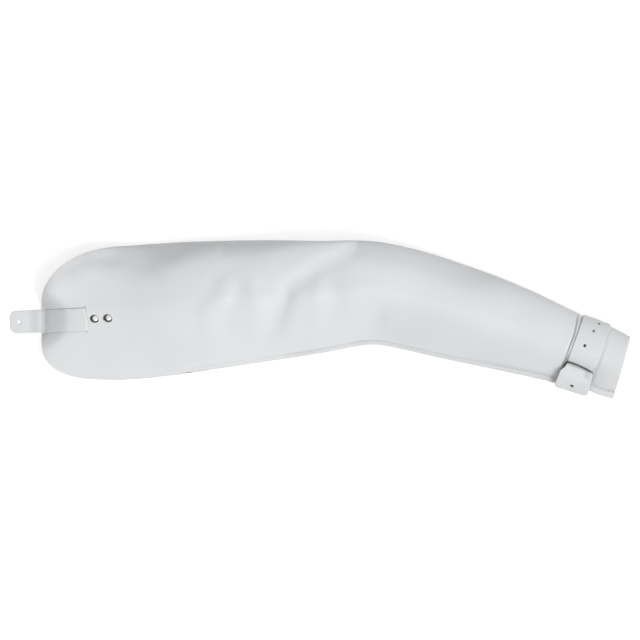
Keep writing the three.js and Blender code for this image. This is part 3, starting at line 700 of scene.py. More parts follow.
def edge_wrinkles(plan):
    """Parallel wrinkles where the cap is bent over at its edge: a sine across them in a soft window."""
    x, y = plan[..., 0] - WRINKLES_AT[0], plan[..., 1] - WRINKLES_AT[1]
    window = bell(x, WRINKLE_REACH[0]) * bell(y, WRINKLE_REACH[1])
    return window * np.sin(2 * np.pi * (x - WRINKLE_SLANT * y) / WRINKLE_STEP)


def lip_heights(plan):
    """Height of the slit's lips: the left one follows the tab's underside, the right one is lifted."""
    from_end, sideways = from_tab(plan)
    past = from_end - slit_wave(sideways) - SLIT
    pressed = np.minimum(tab_offset(from_end, sideways) - CLEAR, 0) * (past < 0)
    lifted = LIP_LIFT * np.exp(-np.maximum(past, 0) / LIP_FADE) * (past >= 0)
    return (1 - smoothstep(np.abs(sideways), *LIP_ENDS)) * (pressed + lifted)


upper = smoothstep(3 - v, 0, UPPER_EASE)
ridges = ridge_heights(plan) * loose * upper * (1 - between(along, *STRAP_BAND))
fold_plan = smooth_sheet(along, np.full(along.shape, 3.0))[0][..., :2]
room = np.maximum(section["nose"] - section["low"] - FOLD_ROUND, LEAST_ROOM)
falls = room * np.tanh(slope_falls(np.where((v > 3)[..., None], fold_plan, plan)) / room)
turned_under = 1 - np.sin(np.pi / 2 * (v - 3))
held = np.select([v < 1, v < 2, v < 3, v < 4], [0 * v, loose, 1 + 0 * v, turned_under], 0)
creases = ridges - falls * held
wrinkles = upper * edge_wrinkles(plan)
sheet[..., 2] += creases + WRINKLE_HEIGHT * wrinkles + upper * lip_heights(plan)
print(f"creases from {creases.min():.1f} to {creases.max():.1f} mm")

# %% [markdown]
# ## The sleeve's seam
# The thread draws the two layers together, so there is a groove along the stitches, and the margin droops
# to its edge. On a worn seam the groove isn't even: it fades on the upper arm and is deep at the elbow, and
# the table says how strong it is along the sleeve.

# %% Groove of the seam
SEAM_EASE = 6
SEAM_GROOVE = 1.2  # from the inner border of the margin to the stitches
GROOVE_WIDTH = 0.9
GROOVE_DEPTH = 0.8
CUFF_DEPTH = 0.7  # the groove is deeper by this at the cuff
CUFF_STARTS = (634, 642)
MARGIN_DROOP = 1.5
EDGE_WEAR = 0.9
GROOVE_TABLE = np.array(  # along the sleeve, and how strong the groove of the seam is there
    [(160, 0.3), (260, 0.3), (285, 1.1), (315, 0.6), (335, 0.6), (350, 1.5), (385, 1.5), (410, 1.0)]
)


def worn_edge(distance, radius, least=0.5):
    """Share of the thickness left near a cut edge: a quarter circle from least at the edge to 1."""
    t = np.clip(distance / radius, 0, 1)
    return least + (1 - least) * np.sqrt(1 - (1 - t) ** 2)


margin = section["margin"]
from_seam = np.where(v < 1, v, 6 - v) * margin
sewn = smoothstep(along, SEAM_START - SEAM_EASE, SEAM_START + SEAM_EASE) * (v < 1)
strength = np.interp(along, *GROOVE_TABLE.T)
groove = strength * sewn * bell(from_seam - margin + SEAM_GROOVE, GROOVE_WIDTH)
at_cuff_end = smoothstep(along, *CUFF_STARTS)
sheet[..., 2] -= (GROOVE_DEPTH + CUFF_DEPTH * at_cuff_end) * groove + MARGIN_DROOP * sewn * (1 - v)
from_edge = np.minimum(along - start, WRIST_END - along)
from_edge = np.where((v < 1) | (v > 5), np.minimum(from_edge, from_seam), from_edge)
half_sleeve = SLEEVE_LEATHER / 2 * worn_edge(from_edge, EDGE_WEAR)
print(f"groove of the seam: up to {groove.max():.1f} times its depth of {GROOVE_DEPTH} mm")

# %% [markdown]
# ## The sleeve's painted shade and wear
# Values stored on the vertices tell the finish how near a cut edge is and where shade is painted into the
# colour: in creases, in the seam's groove, over a darker seam margin, and where leather lies on leather.
# That is under the wrist strap, in a painted shadow line beside it and along the slit's lip, in the edge
# wrinkles' hollows and in the sharpest creases. It could be painted by hand, but values worked out from the
# shape stay with it when the shape is changed.

# %% Mesh of the sleeve
# Painted shade under the wrist strap: it shows through the strap's holes and as a shadow at its edges, and
# it is weaker towards the fold.
UNDER_STRAP = (605, 608, 628, 631)
FOLD_SIDE = (-25, -18)  # in Y: from here to the fold there is less painted shade
FOLD_SIDE_LESS = 0.75
STRAP_SHADOW_LINE = (635.4, 1.0)  # painted shadow line beside the strap: place along the sleeve, and half width
STRAP_SHADOW_ENDS = (-34, -6)
# Painted shadow along the slit's right lip, and how dark the painted shade is in the shadow lines, the
# wrinkles' hollows, the sharpest creases and the cuff's groove.
LIP_SHADOW_WIDTH = 0.8
SHADOW_LINE_DARKNESS = 0.45
WRINKLE_SHADE = 0.3
SHARP_CREASE_SHADE = 0.35
CUFF_GROOVE_SHADE = 0.2
CREASE_SHADE = 0.35
FULL_SHADE_DEPTH = 3
SEAM_DARKENING = (0.6, 0.4)  # darker over the margin, and painted shade in the groove besides
CUT_WIDTH = 1.4
SLIT_HALF = TAB_WIDTH / 2 + 0.1

_, cell_side = from_tab((plan[:-1, :-1] + plan[1:, 1:]) / 2)
slit_row = np.abs((lengths[:-1] + lengths[1:]) / 2 - SLIT_ALONG) < SLIT_WIDTH / 2
in_slit = slit_row[:, None] & (np.abs(cell_side) < SLIT_HALF) & (v[:-1, :-1] < 3)

plan_y = plan[..., 1]
shade_under_strap = between(along, *UNDER_STRAP) * (1 - FOLD_SIDE_LESS * smoothstep(plan_y, *FOLD_SIDE))
strap_shadow_line = bell(along - STRAP_SHADOW_LINE[0], STRAP_SHADOW_LINE[1]) * (1 - smoothstep(plan_y, *STRAP_SHADOW_ENDS))
from_tip, sideways = from_tab(plan)
past_slit = from_tip - slit_wave(sideways) - SLIT
lip_shadow_line = bell(past_slit, LIP_SHADOW_WIDTH) * (past_slit > 0) * (np.abs(sideways) < TAB_WIDTH / 2)
sharp_creases = fine_creases(plan) * upper
# Painted shade: dark lines in the sharpest creases, in the seam's groove at the cuff and in the edge
# wrinkles' hollows, and painted shadow lines beside the wrist strap and along the slit's right lip.
soil = np.maximum.reduce(
    [
        SHARP_CREASE_SHADE * sharp_creases,
        CUFF_GROOVE_SHADE * groove * at_cuff_end,
        WRINKLE_SHADE * np.maximum(-wrinkles, 0),
        SHADOW_LINE_DARKNESS * strap_shadow_line * upper,
        SHADOW_LINE_DARKNESS * lip_shadow_line * upper,
    ]
)
# Painted shade in creases, more in deeper ones and in the sharpest, and along the seam a darker margin with
# painted shade in its groove.
crease_shade = CREASE_SHADE * np.clip(-creases / FULL_SHADE_DEPTH, 0, 1)
seam_darkening = sewn * (SEAM_DARKENING[0] + SEAM_DARKENING[1] * groove) * np.minimum(strength, 1)
sleeve_values = {
    "cut": 1 - smoothstep(from_edge, 0, CUT_WIDTH),
    "painted_shade_and_tint": np.maximum.reduce([crease_shade, seam_darkening, sharp_creases]),
    "painted_shade": np.maximum(shade_under_strap, soil),
}
sleeve = add_wall("sleeve_panel", sheet, half_sleeve, ~in_slit, sleeve_values)

# %% [markdown]
# ## Stitches of the seam
# A row of thread holds the two layers together, a little inside the edge. Every stitch is the same small
# grain-shaped form, so one form is worked out once and copied to all places in one array sum. An array
# modifier could repeat it too, but it wouldn't leave a gap for the strap.

# %% Seam stitches
STITCH_PITCH = 3.9
STITCH_LENGTH = 3.1
STITCHED = (SEAM_START + 4, WRIST_END - 3)
THREAD = 0.45
THREAD_SINK = 0.35
STRAP_CLEAR = 1  # stitches keep this far from the wrist strap
GRAIN_RINGS = 7
GRAIN_SIDES = 6
LEAST_TIP = 0.02  # a tip keeps a little width, so that its faces don't vanish


def full_turn(count):
    """Angles of a number of points once round a circle."""
    return np.arange(count) / count * 2 * np.pi


def grain_shape(length, radius):
    """A grain along X: rings whose radius is the root of 1 - t^4, closed at both points."""
    t = np.linspace(-1, 1, GRAIN_RINGS)[:, None]
    turn = full_turn(GRAIN_SIDES)
    wide = radius * np.sqrt(np.maximum(1 - t**4, LEAST_TIP))
    x = np.broadcast_to(t * length / 2, (GRAIN_RINGS, GRAIN_SIDES))
    return np.stack([x, wide * np.cos(turn), wide * np.sin(turn)], -1)


def tube_faces(rings, sides, closed=False):
    """Faces of a tube of rings: each joined to the next, and the last to the first if it is closed."""
    index = np.arange(rings * sides).reshape(rings, sides)
    after = np.roll(index, -1, axis=0) if closed else index[1:]
    here = index if closed else index[:-1]
    turned_here, turned_after = np.roll(here, -1, axis=1), np.roll(after, -1, axis=1)
    return np.stack([here, turned_here, turned_after, after], -1).reshape(-1, 4)


def end_faces(rings, sides):
    """Four-cornered faces that close both ends of a tube with an even number of sides."""
    k = np.arange(sides // 2 - 1)
    first = np.stack([k, sides - 1 - k, sides - 2 - k, k + 1], -1)
    last = first[:, ::-1] + (rings - 1) * sides
    return np.concatenate([first, last])


def closed_tube(rings, sides):
    """Faces of a tube of rings with both ends closed."""
    return np.concatenate([tube_faces(rings, sides), end_faces(rings, sides)])


def seam_line(along):
    """The stitch line on the upper side of the seam margin."""
    points, _ = smooth_sheet(along, 1 - SEAM_GROOVE / station(along)["margin"])
    points[..., 2] += SLEEVE_LEATHER / 2 - THREAD_SINK
    return points


def add_stitches():
    """Stitches along the seam: the one shape turned to three axes at every place, along the line there, to
    its side and upwards."""
    at = np.arange(*STITCHED, STITCH_PITCH)
    at = at[(at < STRAP_BAND[1] - STRAP_CLEAR) | (at > STRAP_BAND[2] + STRAP_CLEAR)]
    places = seam_line(at)
    ahead = unit(seam_line(at + 1) - seam_line(at - 1))
    up = np.broadcast_to(np.array([0.0, 0, 1]), ahead.shape)
    side = unit(np.cross(up, ahead))
    shape = grain_shape(STITCH_LENGTH, THREAD).reshape(-1, 3)
    vertices = places[:, None] + shape @ np.stack([ahead, side, np.cross(ahead, side)], 1)
    one = closed_tube(GRAIN_RINGS, GRAIN_SIDES)
    faces = one + np.arange(len(places))[:, None, None] * len(shape)
    return put_mesh("seam_stitches", vertices.reshape(-1, 3), faces.reshape(-1, 4), {})


stitches = add_stitches()

# %% [markdown]
# ## Punched straps
# A strap is a wall too, on a fine square grid. To punch a round hole, the squares round its middle are
# drawn into circles: a point at square distance s from the middle moves to a circle of radius s, and eases
# back to its own place a little further out. The cells inside the hole are then left out. A Boolean would
# cut holes too, but it leaves long thin faces that shade badly.

# %% Grid of a strap
CELL = 0.75
RIM = 2 * CELL  # from the middle of a hole to its rim, before it is drawn to its radius
EDGE_STEPS = np.array([0.12, 0.3, 0.52])  # finer lines beside an edge, so that it can be rounded
EDGE_CLEAR = 0.6
SNAP_REACH = 8 * CELL
ROUNDED = (1.2, 4)  # in radii of a hole: circles inside the first, squares outside the second
SLACK = 0.1
FAR = 1e3  # further than any point of a strap is from a hole


def snapped(places, middles):
    """Places of grid lines, eased along by less than half a cell so that one line meets each hole."""
    for middle in middles:
        nearest = places[np.argmin(np.abs(places - middle))]
        places = places + (middle - nearest) * bell(places - middle, SNAP_REACH)
    return places


def punch(lengthwise, crosswise, hole, radius):
    """Grid coordinates with squares drawn into circles round one hole, and distance from its middle."""
    a, b = lengthwise - hole[0], crosswise - hole[1]
    square = np.maximum(np.abs(a), np.abs(b))
    turn = np.arctan2(b, a)
    share = 1 - smoothstep(square, ROUNDED[0] * radius, ROUNDED[1] * radius)
    rounded = square * np.where(square < RIM + SLACK, radius / RIM, 1)
    moved_along = lengthwise + share * (rounded * np.cos(turn) - a)
    moved_across = crosswise + share * (rounded * np.sin(turn) - b)
    return moved_along, moved_across, square


def strap_grid(length, width, holes, radii, corner, at_far_end):
    """Grid coordinates of a strap: length along it and across it, kept cells, and the distances from any
    edge and from the rim of a hole. The middle column follows the line of holes, which need not be the
    middle of the strap. One end has rounded corners."""
    inner = np.linspace(CELL, length - CELL, round(length / CELL) - 1)
    hole_lengths, hole_sides = np.array(holes).T
    lines = np.concatenate([[0], EDGE_STEPS, inner, length - EDGE_STEPS[::-1], [length]])
    along = snapped(lines, hole_lengths)
    half = width / 2
    count = 2 * round(half / CELL) - 1
    inside = CELL * (np.arange(count) - (count - 1) / 2)
    inside = inside[np.abs(inside) < half - EDGE_CLEAR]
    across = np.concatenate([[-half], EDGE_STEPS - half, inside, half - EDGE_STEPS[::-1], [half]])
    lengthwise, crosswise = np.meshgrid(along, across, indexing="ij")
    crosswise = crosswise + np.interp(lengthwise, hole_lengths, hole_sides) * (1 - (crosswise / half) ** 2)
    from_rim = np.full(lengthwise.shape, FAR)
    kept = np.ones((len(along) - 1, len(across) - 1), bool)
    for hole, radius in zip(holes, radii):
        lengthwise, crosswise, square = punch(lengthwise, crosswise, hole, radius)
        corners = [square[:-1, :-1], square[1:, 1:], square[1:, :-1], square[:-1, 1:]]
        kept &= np.maximum.reduce(corners) > RIM + SLACK
        from_rim = np.minimum(from_rim, np.maximum(square - RIM, 0))
    from_end = length - lengthwise if at_far_end else lengthwise
    inset = corner - np.sqrt(np.maximum(corner**2 - np.maximum(corner - from_end, 0) ** 2, 0))
    from_side = half - np.abs(crosswise)
    from_edge = np.minimum(np.minimum(from_side, from_end), from_rim)
    return lengthwise, crosswise * (half - inset) / half, kept, from_edge, from_rim


print(f"strap cells are {CELL} mm")

# %% [markdown]
# ## The shoulder tab
# The tab's grid is laid along its line: flat on the floor at its free end, then over the cap's edge. Across
# its width it follows the cap, so it banks with the leather under it.

# %% Tab mesh
TAB_HOLE = 10
TAB_HOLE_RADIUS = 1.7
TAB_CORNER = 7
STRAP_WEAR = 0.7
STRAP_CUT = 0.9


def tab_surface(from_end, sideways):
    """Middle surface of the tab: the height of the cap plus its own offset, eased down to the floor."""
    plan = tab_plan(from_end, sideways)
    over = cap_height(plan)
    step = 1.0
    along_slope = cap_height(plan + [step, 0]) - over
    across_slope = cap_height(plan + [0, step]) - over
    on_cap = over + tab_offset(from_end, sideways) * np.sqrt(1 + along_slope**2 + across_slope**2)
    edge = (SHOULDER_X - TAB_TIP[0]) / TAB_AXIS[0]
    lying = STRAP_LEATHER / 2
    z = lying + (on_cap - lying) * smoothstep(from_end, TAB_FLAT, edge)
    return np.concatenate([plan, z[..., None]], -1)


lengthwise, crosswise, kept, from_edge, _ = strap_grid(
    TAB_LENGTH, TAB_WIDTH, [(TAB_HOLE, 0)], [TAB_HOLE_RADIUS], TAB_CORNER, False
)
tab = add_wall(
    "shoulder_tab_strap",
    tab_surface(lengthwise, crosswise),
    STRAP_LEATHER / 2 * worn_edge(from_edge, STRAP_WEAR),
    kept,
    {"cut": 1 - smoothstep(from_edge, 0, STRAP_CUT)},
)

# %% [markdown]
# ## The wrist strap's line
# The strap is drawn tight round the cuff, so it follows the convex line round the section there. The convex
# line is found all at once: for each of many directions, the section's point that lies furthest that way.
# A Shrinkwrap modifier would sink into hollows that a tight strap bridges.

# %% Line round the cuff
STRAP_WIDTH = 32
STRAP_AT = 618.0
STRAP_SEAT = 0.5
CUFF_POINTS = 289
EDGE_POINTS = 17
DIRECTIONS = 7200
cuff = {key: value[0] for key, value in station(np.array([STRAP_AT])).items()}


def cuff_loop():
    """Points of the convex line in the section's plane, from the seam edge along the underside and back."""
    q, z, _ = section_point(cuff, np.linspace(0, 6, CUFF_POINTS))
    middle, radius = (cuff["top"] + cuff["low"]) / 2, (cuff["top"] - cuff["low"]) / 2
    turn = np.linspace(np.pi / 2, 3 * np.pi / 2, EDGE_POINTS)[1:-1]
    points = np.stack([q, z], -1)
    points = np.concatenate([points, np.stack([radius * np.cos(turn), middle + radius * np.sin(turn)], -1)])
    angle = np.linspace(-np.pi, np.pi, DIRECTIONS, endpoint=False)
    furthest = np.argmax(points @ np.stack([np.cos(angle), np.sin(angle)]), axis=0)
    return points[furthest[np.r_[True, np.diff(furthest) != 0]]]


def lengths_along(points):
    """Length along a line of points, from its start to each of them."""
    return np.concatenate([[0], np.cumsum(np.linalg.norm(np.diff(points, axis=0), axis=1))])


def read_off(at, places, points):
    """What lies at places along a line, between the points given at other places."""
    return np.stack([np.interp(at, places, points[:, k]) for k in (0, 1)], -1)


loop = cuff_loop()
loop_length = lengths_along(loop)
CUFF_ROUND = loop_length[-1]
ahead = unit(np.diff(loop, axis=0))
tangents = unit(np.concatenate([ahead, ahead[:1]]) + np.concatenate([ahead[-1:], ahead]))
loop_normals = np.stack([tangents[:, 1], -tangents[:, 0]], -1)


def over_cuff(distance, height):
    """Points at a distance along the convex line and a height over it, in the section's plane."""
    at = np.mod(distance, CUFF_ROUND)
    normal = unit(read_off(at, loop_length, loop_normals))
    return read_off(at, loop_length, loop) + normal * height[..., None]


def at_cuff(section, sideways):
    """Points of the section's plane set into the room, moved sideways along the sleeve."""
    across = cuff["across"]
    plan = cuff["seam"] + section[..., 0:1] * across
    plan = plan + sideways[..., None] * np.array([across[1], -across[0]])
    return np.concatenate([plan, section[..., 1:2]], -1)


print(f"strap line: {CUFF_ROUND:.0f} mm once round the cuff")

# %% [markdown]
# The strap starts as a short return sewn under the buckle's heel bar, folds round that bar, goes once round
# the cuff, under the toe bar, over the heel bar, and ends in a free tail. The rows give its height over the
# cuff at a few distances from the seam edge, and the same smooth line joins them.

# %% Line of the strap
WIRE = 1.0
BUCKLE_LENGTH = 16
TOE_FROM_EDGE = 31
FIRST = SLEEVE_LEATHER / 2 + STRAP_SEAT + STRAP_LEATHER / 2
FOLD_RADIUS = WIRE + GAP + STRAP_LEATHER / 2
BAR_HEIGHT = FIRST + FOLD_RADIUS
OVER_BAR = BAR_HEIGHT + FOLD_RADIUS
LAYER = STRAP_LEATHER + GAP
SECOND = STRAP_LEATHER + 3 * GAP
EDGE_TURN = np.pi / 4 * (SLEEVE_LEATHER + GAP)
HEEL = TOE_FROM_EDGE - BUCKLE_LENGTH
RETURN = [(7.5, FIRST), (3, FIRST)]
THROUGH_BUCKLE = [
    (-6, FIRST),
    (0, FIRST),
    (3.4, FIRST + 0.7),
    (9.1, OVER_BAR + LAYER - 2.6),
    (BUCKLE_LENGTH, OVER_BAR + LAYER),
]
DOWN_TO_EDGE = [
    (4, OVER_BAR - 0.9),
    (9, FIRST + LAYER + 0.2),
    (HEEL - 3, FIRST + LAYER - 1),
    (HEEL + 0.5, FIRST + 0.7),
]
TAIL_LEAVES = 2.0  # the tail leaves the cuff this far past the heel bar
TAIL_TIP = np.array([-8.6, 8.0])  # its end: from the seam edge, and height
TAIL_BOW = 2.2
TAIL_LEAD = 80  # points of the line back from where the tail leaves, to carry its direction on
TAIL_POINTS = 300  # points between two knots of the tail
ROUTE_POINTS = 6000
HALF_STEP = 0.5  # the line's direction is measured this far each way
BAR_KNOTS = 7
ROUND_SHARES = np.arange(1, 8) / 10  # knots round the cuff, as shares of the whole way


def strap_route():
    """Knots of the strap's line, as distance from the seam edge and height over the cuff."""
    turn = np.linspace(-np.pi / 2, np.pi / 2, BAR_KNOTS)
    bar = np.stack([-HEEL - FOLD_RADIUS * np.cos(turn), BAR_HEIGHT + FOLD_RADIUS * np.sin(turn)], -1)
    return np.concatenate(
        [
            np.array(RETURN) + [-HEEL, 0],
            bar,
            np.array(DOWN_TO_EDGE) + [-HEEL, 0],
            [[EDGE_TURN, FIRST], [3 * EDGE_TURN, FIRST]],
            np.stack([ROUND_SHARES * CUFF_ROUND, np.full(len(ROUND_SHARES), FIRST)], -1),
            np.array(THROUGH_BUCKLE) + [CUFF_ROUND - TOE_FROM_EDGE, 0],
            np.array(DOWN_TO_EDGE) + [CUFF_ROUND - HEEL, SECOND],
        ]
    )


fine = smooth_line(strap_route(), ROUTE_POINTS)
fine = fine[fine[:, 0] < CUFF_ROUND - HEEL + TAIL_LEAVES]
on_cuff = over_cuff(fine[:, 0], fine[:, 1])
half_way = (on_cuff[-1] + TAIL_TIP) / 2 + [0, TAIL_BOW]
tail_knots = [on_cuff[-TAIL_LEAD], on_cuff[-1], half_way, TAIL_TIP]
tail_line = smooth_line(tail_knots, 3 * TAIL_POINTS + 1)[TAIL_POINTS + 1 :]
fine_points = np.concatenate([on_cuff, tail_line])
fine_length = lengths_along(fine_points)
STRAP_LENGTH = fine_length[-1]


def strap_section(length):
    """Points of the strap's line in the section's plane at lengths along it."""
    return read_off(length, fine_length, fine_points)


def strap_normal(length):
    """Normals of the strap's line in the section's plane, away from the cuff."""
    ahead = unit(strap_section(length + HALF_STEP) - strap_section(length - HALF_STEP))
    return np.stack([ahead[..., 1], -ahead[..., 0]], -1)


def length_at(up):
    """Length along the strap where its upper part passes a distance up from the seam edge. The first
    quarter of the line, which passes there too, is left out."""
    later = slice(len(fine) // 4, len(fine))
    return np.interp(CUFF_ROUND - up, fine[later, 0], fine_length[later])


print(f"wrist strap: {STRAP_LENGTH:.0f} mm long")

# %% [markdown]
# The wrist strap gets the same kind of grid as the tab, with a row of punched holes. The buckle draws it in
# and to one side. Past the toe bar its tail widens, rides up over the frame's side and ends askew, as a
# strap pulled through a buckle by hand would.

# %% Wrist strap mesh
STRAP_CORNER = 5
STRAP_HOLES = [(81.8, 2.6), (71.7, -0.3), (53.8, -4.0)]  # up from the seam edge, and to the side
TAIL_HOLE = (11.5, -1.0)  # from the end, and to the side
HOLE_RADII = [1.05, 1.2, 1.5, 1.5]  # the holes that were never used have closed a little
ARM_FLARE = 0.2  # how much wider the tail is on the arm's side
ARM_FLARE_OVER = (6.5, 14)  # past the toe bar: where it begins, and where it is full
WRIST_FLARE = 0.15
WRIST_FLARE_OVER = (2, 26)
PINCH = 0.12  # the buckle draws the strap in by this share
PINCH_WIDTH = 4
RETURN_PINCH = (16, 36)  # from the strap's start: where the fold round the heel bar widens again
BUCKLE_SHIFT = -1.1  # the buckle sits this far to the side
TAIL_SHIFT = -0.4
TAIL_SHIFT_OVER = (3, 10)
EDGE_CURL = 2.4  # the tail's wrist side rides up over the frame's side
CURL_ACROSS = (6, 15)
CURL_ALONG = (1, 4, 8, 13)
TAIL_SKEW = 3.5  # how much shorter its wrist side is
SKEW_OVER = 20
# Painted shade on the strap's first layer under the tail, which shows through the tail's hole
UNDER_TAIL = (12, 15, 24, 27)
UNDER_TAIL_HALF = (7, 10)
BELOW_BAR = (2.6, 1.6)  # a painted shadow line past the toe bar, where the strap dips under it: its place and half width
BAR_SHADOW_DARKNESS = 0.12
# Width of the painted shade round a hole's rim, which makes the holes read dark
HOLE_SHADE_WIDTH = 0.3

strap_holes = [(length_at(up), side) for up, side in STRAP_HOLES]
strap_holes.append((STRAP_LENGTH - TAIL_HOLE[0], TAIL_HOLE[1]))
lengthwise, crosswise, kept, from_edge, from_rim = strap_grid(
    STRAP_LENGTH, STRAP_WIDTH, strap_holes, HOLE_RADII, STRAP_CORNER, True
)
past_toe = lengthwise - length_at(TOE_FROM_EDGE)
arm_flare = ARM_FLARE * smoothstep(past_toe, *ARM_FLARE_OVER)
wrist_flare = WRIST_FLARE * smoothstep(past_toe, *WRIST_FLARE_OVER)
in_buckle = bell(past_toe, PINCH_WIDTH) + 1 - smoothstep(lengthwise, *RETURN_PINCH)
wider = 1 + np.where(crosswise < 0, arm_flare, wrist_flare) - PINCH * in_buckle
shifted = crosswise * wider + BUCKLE_SHIFT * in_buckle + TAIL_SHIFT * smoothstep(past_toe, *TAIL_SHIFT_OVER)
curl = EDGE_CURL * smoothstep(crosswise, *CURL_ACROSS) * between(past_toe, *CURL_ALONG)
at_tip = 1 - smoothstep(STRAP_LENGTH - lengthwise, 0, SKEW_OVER)
skewed = lengthwise - TAIL_SKEW * (0.5 + crosswise / STRAP_WIDTH) * at_tip
# Painted shade under the tail, and a painted shadow band just past the toe bar
shade_under_tail = between(lengthwise, *UNDER_TAIL) * (1 - smoothstep(np.abs(crosswise), *UNDER_TAIL_HALF))
bar_shadow = bell(past_toe - BELOW_BAR[0], BELOW_BAR[1])
strap = add_wall(
    "wrist_strap_leather",
    at_cuff(strap_section(skewed) + strap_normal(skewed) * curl[..., None], shifted),
    STRAP_LEATHER / 2 * worn_edge(from_edge, STRAP_WEAR),
    kept,
    {
        "cut": 1 - smoothstep(from_edge, 0, STRAP_CUT),
        # painted shade near a hole's rim
        "hole": 1 - smoothstep(from_rim, 0, HOLE_SHADE_WIDTH),
        "painted_shade": np.maximum(shade_under_tail, BAR_SHADOW_DARKNESS * bar_shadow),
        "painted_shade_and_tint": bar_shadow,
    },
)

# %% [markdown]
# ## Buckle and rivets
# The buckle is bent wire: a round profile carried along a closed loop with rounded corners and a bowed toe.
# Its place is a frame on the strap's line, with X along the sleeve, Y up the front and Z outwards. A curve
# with a round bevel would give the same wire, but rings of points can be used for the prong as well.

# %% Buckle frame
BUCKLE_INSIDE = 29.2
HEEL_CORNER = 2.2
TOE_CORNER = 2.8
BUCKLE_BOW = 0.9
TOE_POINTS = 25
ARC_POINTS = 9
BUCKLE_SKEW = 0.07  # the toe bar slants by this much
WIRE_SIDES = 16


def buckle_frame():
    """Origin and axes of the buckle at its heel bar: X along the sleeve, Y up to the toe bar, Z out."""
    at = np.array([CUFF_ROUND - HEEL, CUFF_ROUND - HEEL - BUCKLE_LENGTH])
    heel, toe = at_cuff(over_cuff(at, np.full(2, BAR_HEIGHT)), np.zeros(2))
    up = unit(toe - heel)
    side = np.array([cuff["across"][1], -cuff["across"][0], 0])
    return heel, np.stack([side, up, np.cross(side, up)])


def arc(centre_x, centre_y, radius, start):
    """A quarter circle of points, from a start angle in quarter turns."""
    turn = (start + np.linspace(0, 1, ARC_POINTS)) * np.pi / 2
    return np.stack([centre_x + radius * np.cos(turn), centre_y + radius * np.sin(turn)], -1)


def buckle_loop():
    """The wire's middle line: heel bar on the X axis, rounded corners, a toe bar bowed as a parabola."""
    half = BUCKLE_INSIDE / 2 + WIRE
    toe_half = half - TOE_CORNER
    share = np.linspace(1, -1, TOE_POINTS)[1:-1]
    toe = np.stack([toe_half * share, BUCKLE_LENGTH + BUCKLE_BOW * (1 - share**2)], -1)
    loop = np.concatenate(
        [
            arc(half - HEEL_CORNER, HEEL_CORNER, HEEL_CORNER, 3),
            arc(toe_half, BUCKLE_LENGTH - TOE_CORNER, TOE_CORNER, 0),
            toe,
            arc(-toe_half, BUCKLE_LENGTH - TOE_CORNER, TOE_CORNER, 1),
            arc(-half + HEEL_CORNER, HEEL_CORNER, HEEL_CORNER, 2),
        ]
    )
    loop[:, 1] -= BUCKLE_SKEW * loop[:, 0] * loop[:, 1] / BUCKLE_LENGTH
    return loop + [BUCKLE_SHIFT, 0]


def ring_tube(loop, radius):
    """A tube round a closed loop in the XY plane: a circle set square to the line at every point."""
    ahead = unit(np.roll(loop, -1, axis=0) - np.roll(loop, 1, axis=0))
    turn = full_turn(WIRE_SIDES)
    out = radius * np.cos(turn)
    x = loop[:, 0:1] + ahead[:, 1:2] * out
    y = loop[:, 1:2] - ahead[:, 0:1] * out
    z = np.broadcast_to(radius * np.sin(turn), x.shape)
    return np.stack([x, y, z], -1).reshape(-1, 3)


heel_origin, heel_axes = buckle_frame()
wire_loop = buckle_loop()
buckle_points = heel_origin + ring_tube(wire_loop, WIRE) @ heel_axes
buckle = put_mesh("buckle_wire", buckle_points, tube_faces(len(wire_loop), WIRE_SIDES, True), {})

# %% [markdown]
# The prong is hidden by the strap, so it is plain: a ring round the heel bar and a shank with a round tip.

# %% Buckle prong
PRONG_SHANK = 1.1
PRONG_TAPER = 0.25
PRONG_TIP = 16  # the higher this power is, the blunter the tip
PRONG_RING = 0.9
PRONG_REACH = 8.4
RING_POINTS = 28
SHANK_RINGS = 12


def prong_points():
    """The prong: a ring round the heel bar, and a shank that tapers to a round tip."""
    ring_radius = WIRE + GAP + PRONG_RING
    turn = full_turn(RING_POINTS)
    ring = ring_tube(ring_radius * np.stack([np.cos(turn), np.sin(turn)], -1), PRONG_RING)[:, [2, 0, 1]]
    share = np.linspace(0, 1, SHANK_RINGS)[:, None]
    wide = PRONG_SHANK * (1 - PRONG_TAPER * share) * np.sqrt(np.maximum(1 - share**PRONG_TIP, LEAST_TIP))
    around = full_turn(WIRE_SIDES)
    y = np.broadcast_to(ring_radius + (PRONG_REACH - ring_radius) * share, (SHANK_RINGS, WIRE_SIDES))
    shank = np.stack([wide * np.sin(around), y, wide * np.cos(around)], -1).reshape(-1, 3)
    return ring, shank


ring, shank = prong_points()
shank_faces = closed_tube(SHANK_RINGS, WIRE_SIDES) + len(ring)
prong_faces = np.concatenate([tube_faces(RING_POINTS, WIRE_SIDES, True), shank_faces])
prong = put_mesh("buckle_tongue", heel_origin + np.concatenate([ring, shank]) @ heel_axes, prong_faces, {})

# %% [markdown]
# A rivet is a turned form: a profile carried once round an axis. Its head is a low dome with a rolled brim,
# and the flatter back sits under the tab inside the cap. A screw modifier could turn it, but the faces of
# a closed tube are already at hand.

# %% Rivets
RIVET_AT = (93.5, 108.2)  # from the tab's free end
RIVET_SIDES = 40
RIVET_REACH = 3.0  # the cap's slope is measured over this distance
HEAD = (5.0, 2.1)  # radius, and height of the dome
BACK = (4.5, 0.9)
HEAD_EDGE = 0.5
BACK_EDGE = 0.4
BRIM = [(4.8, 0), (5.05, 0.2)]  # radius, and height over the leather
POST = 1.6
HEAD_SEAT = 0.1
DOME_RINGS = 9
DOME_START = 0.04  # the first ring is this far out from the middle, as an angle


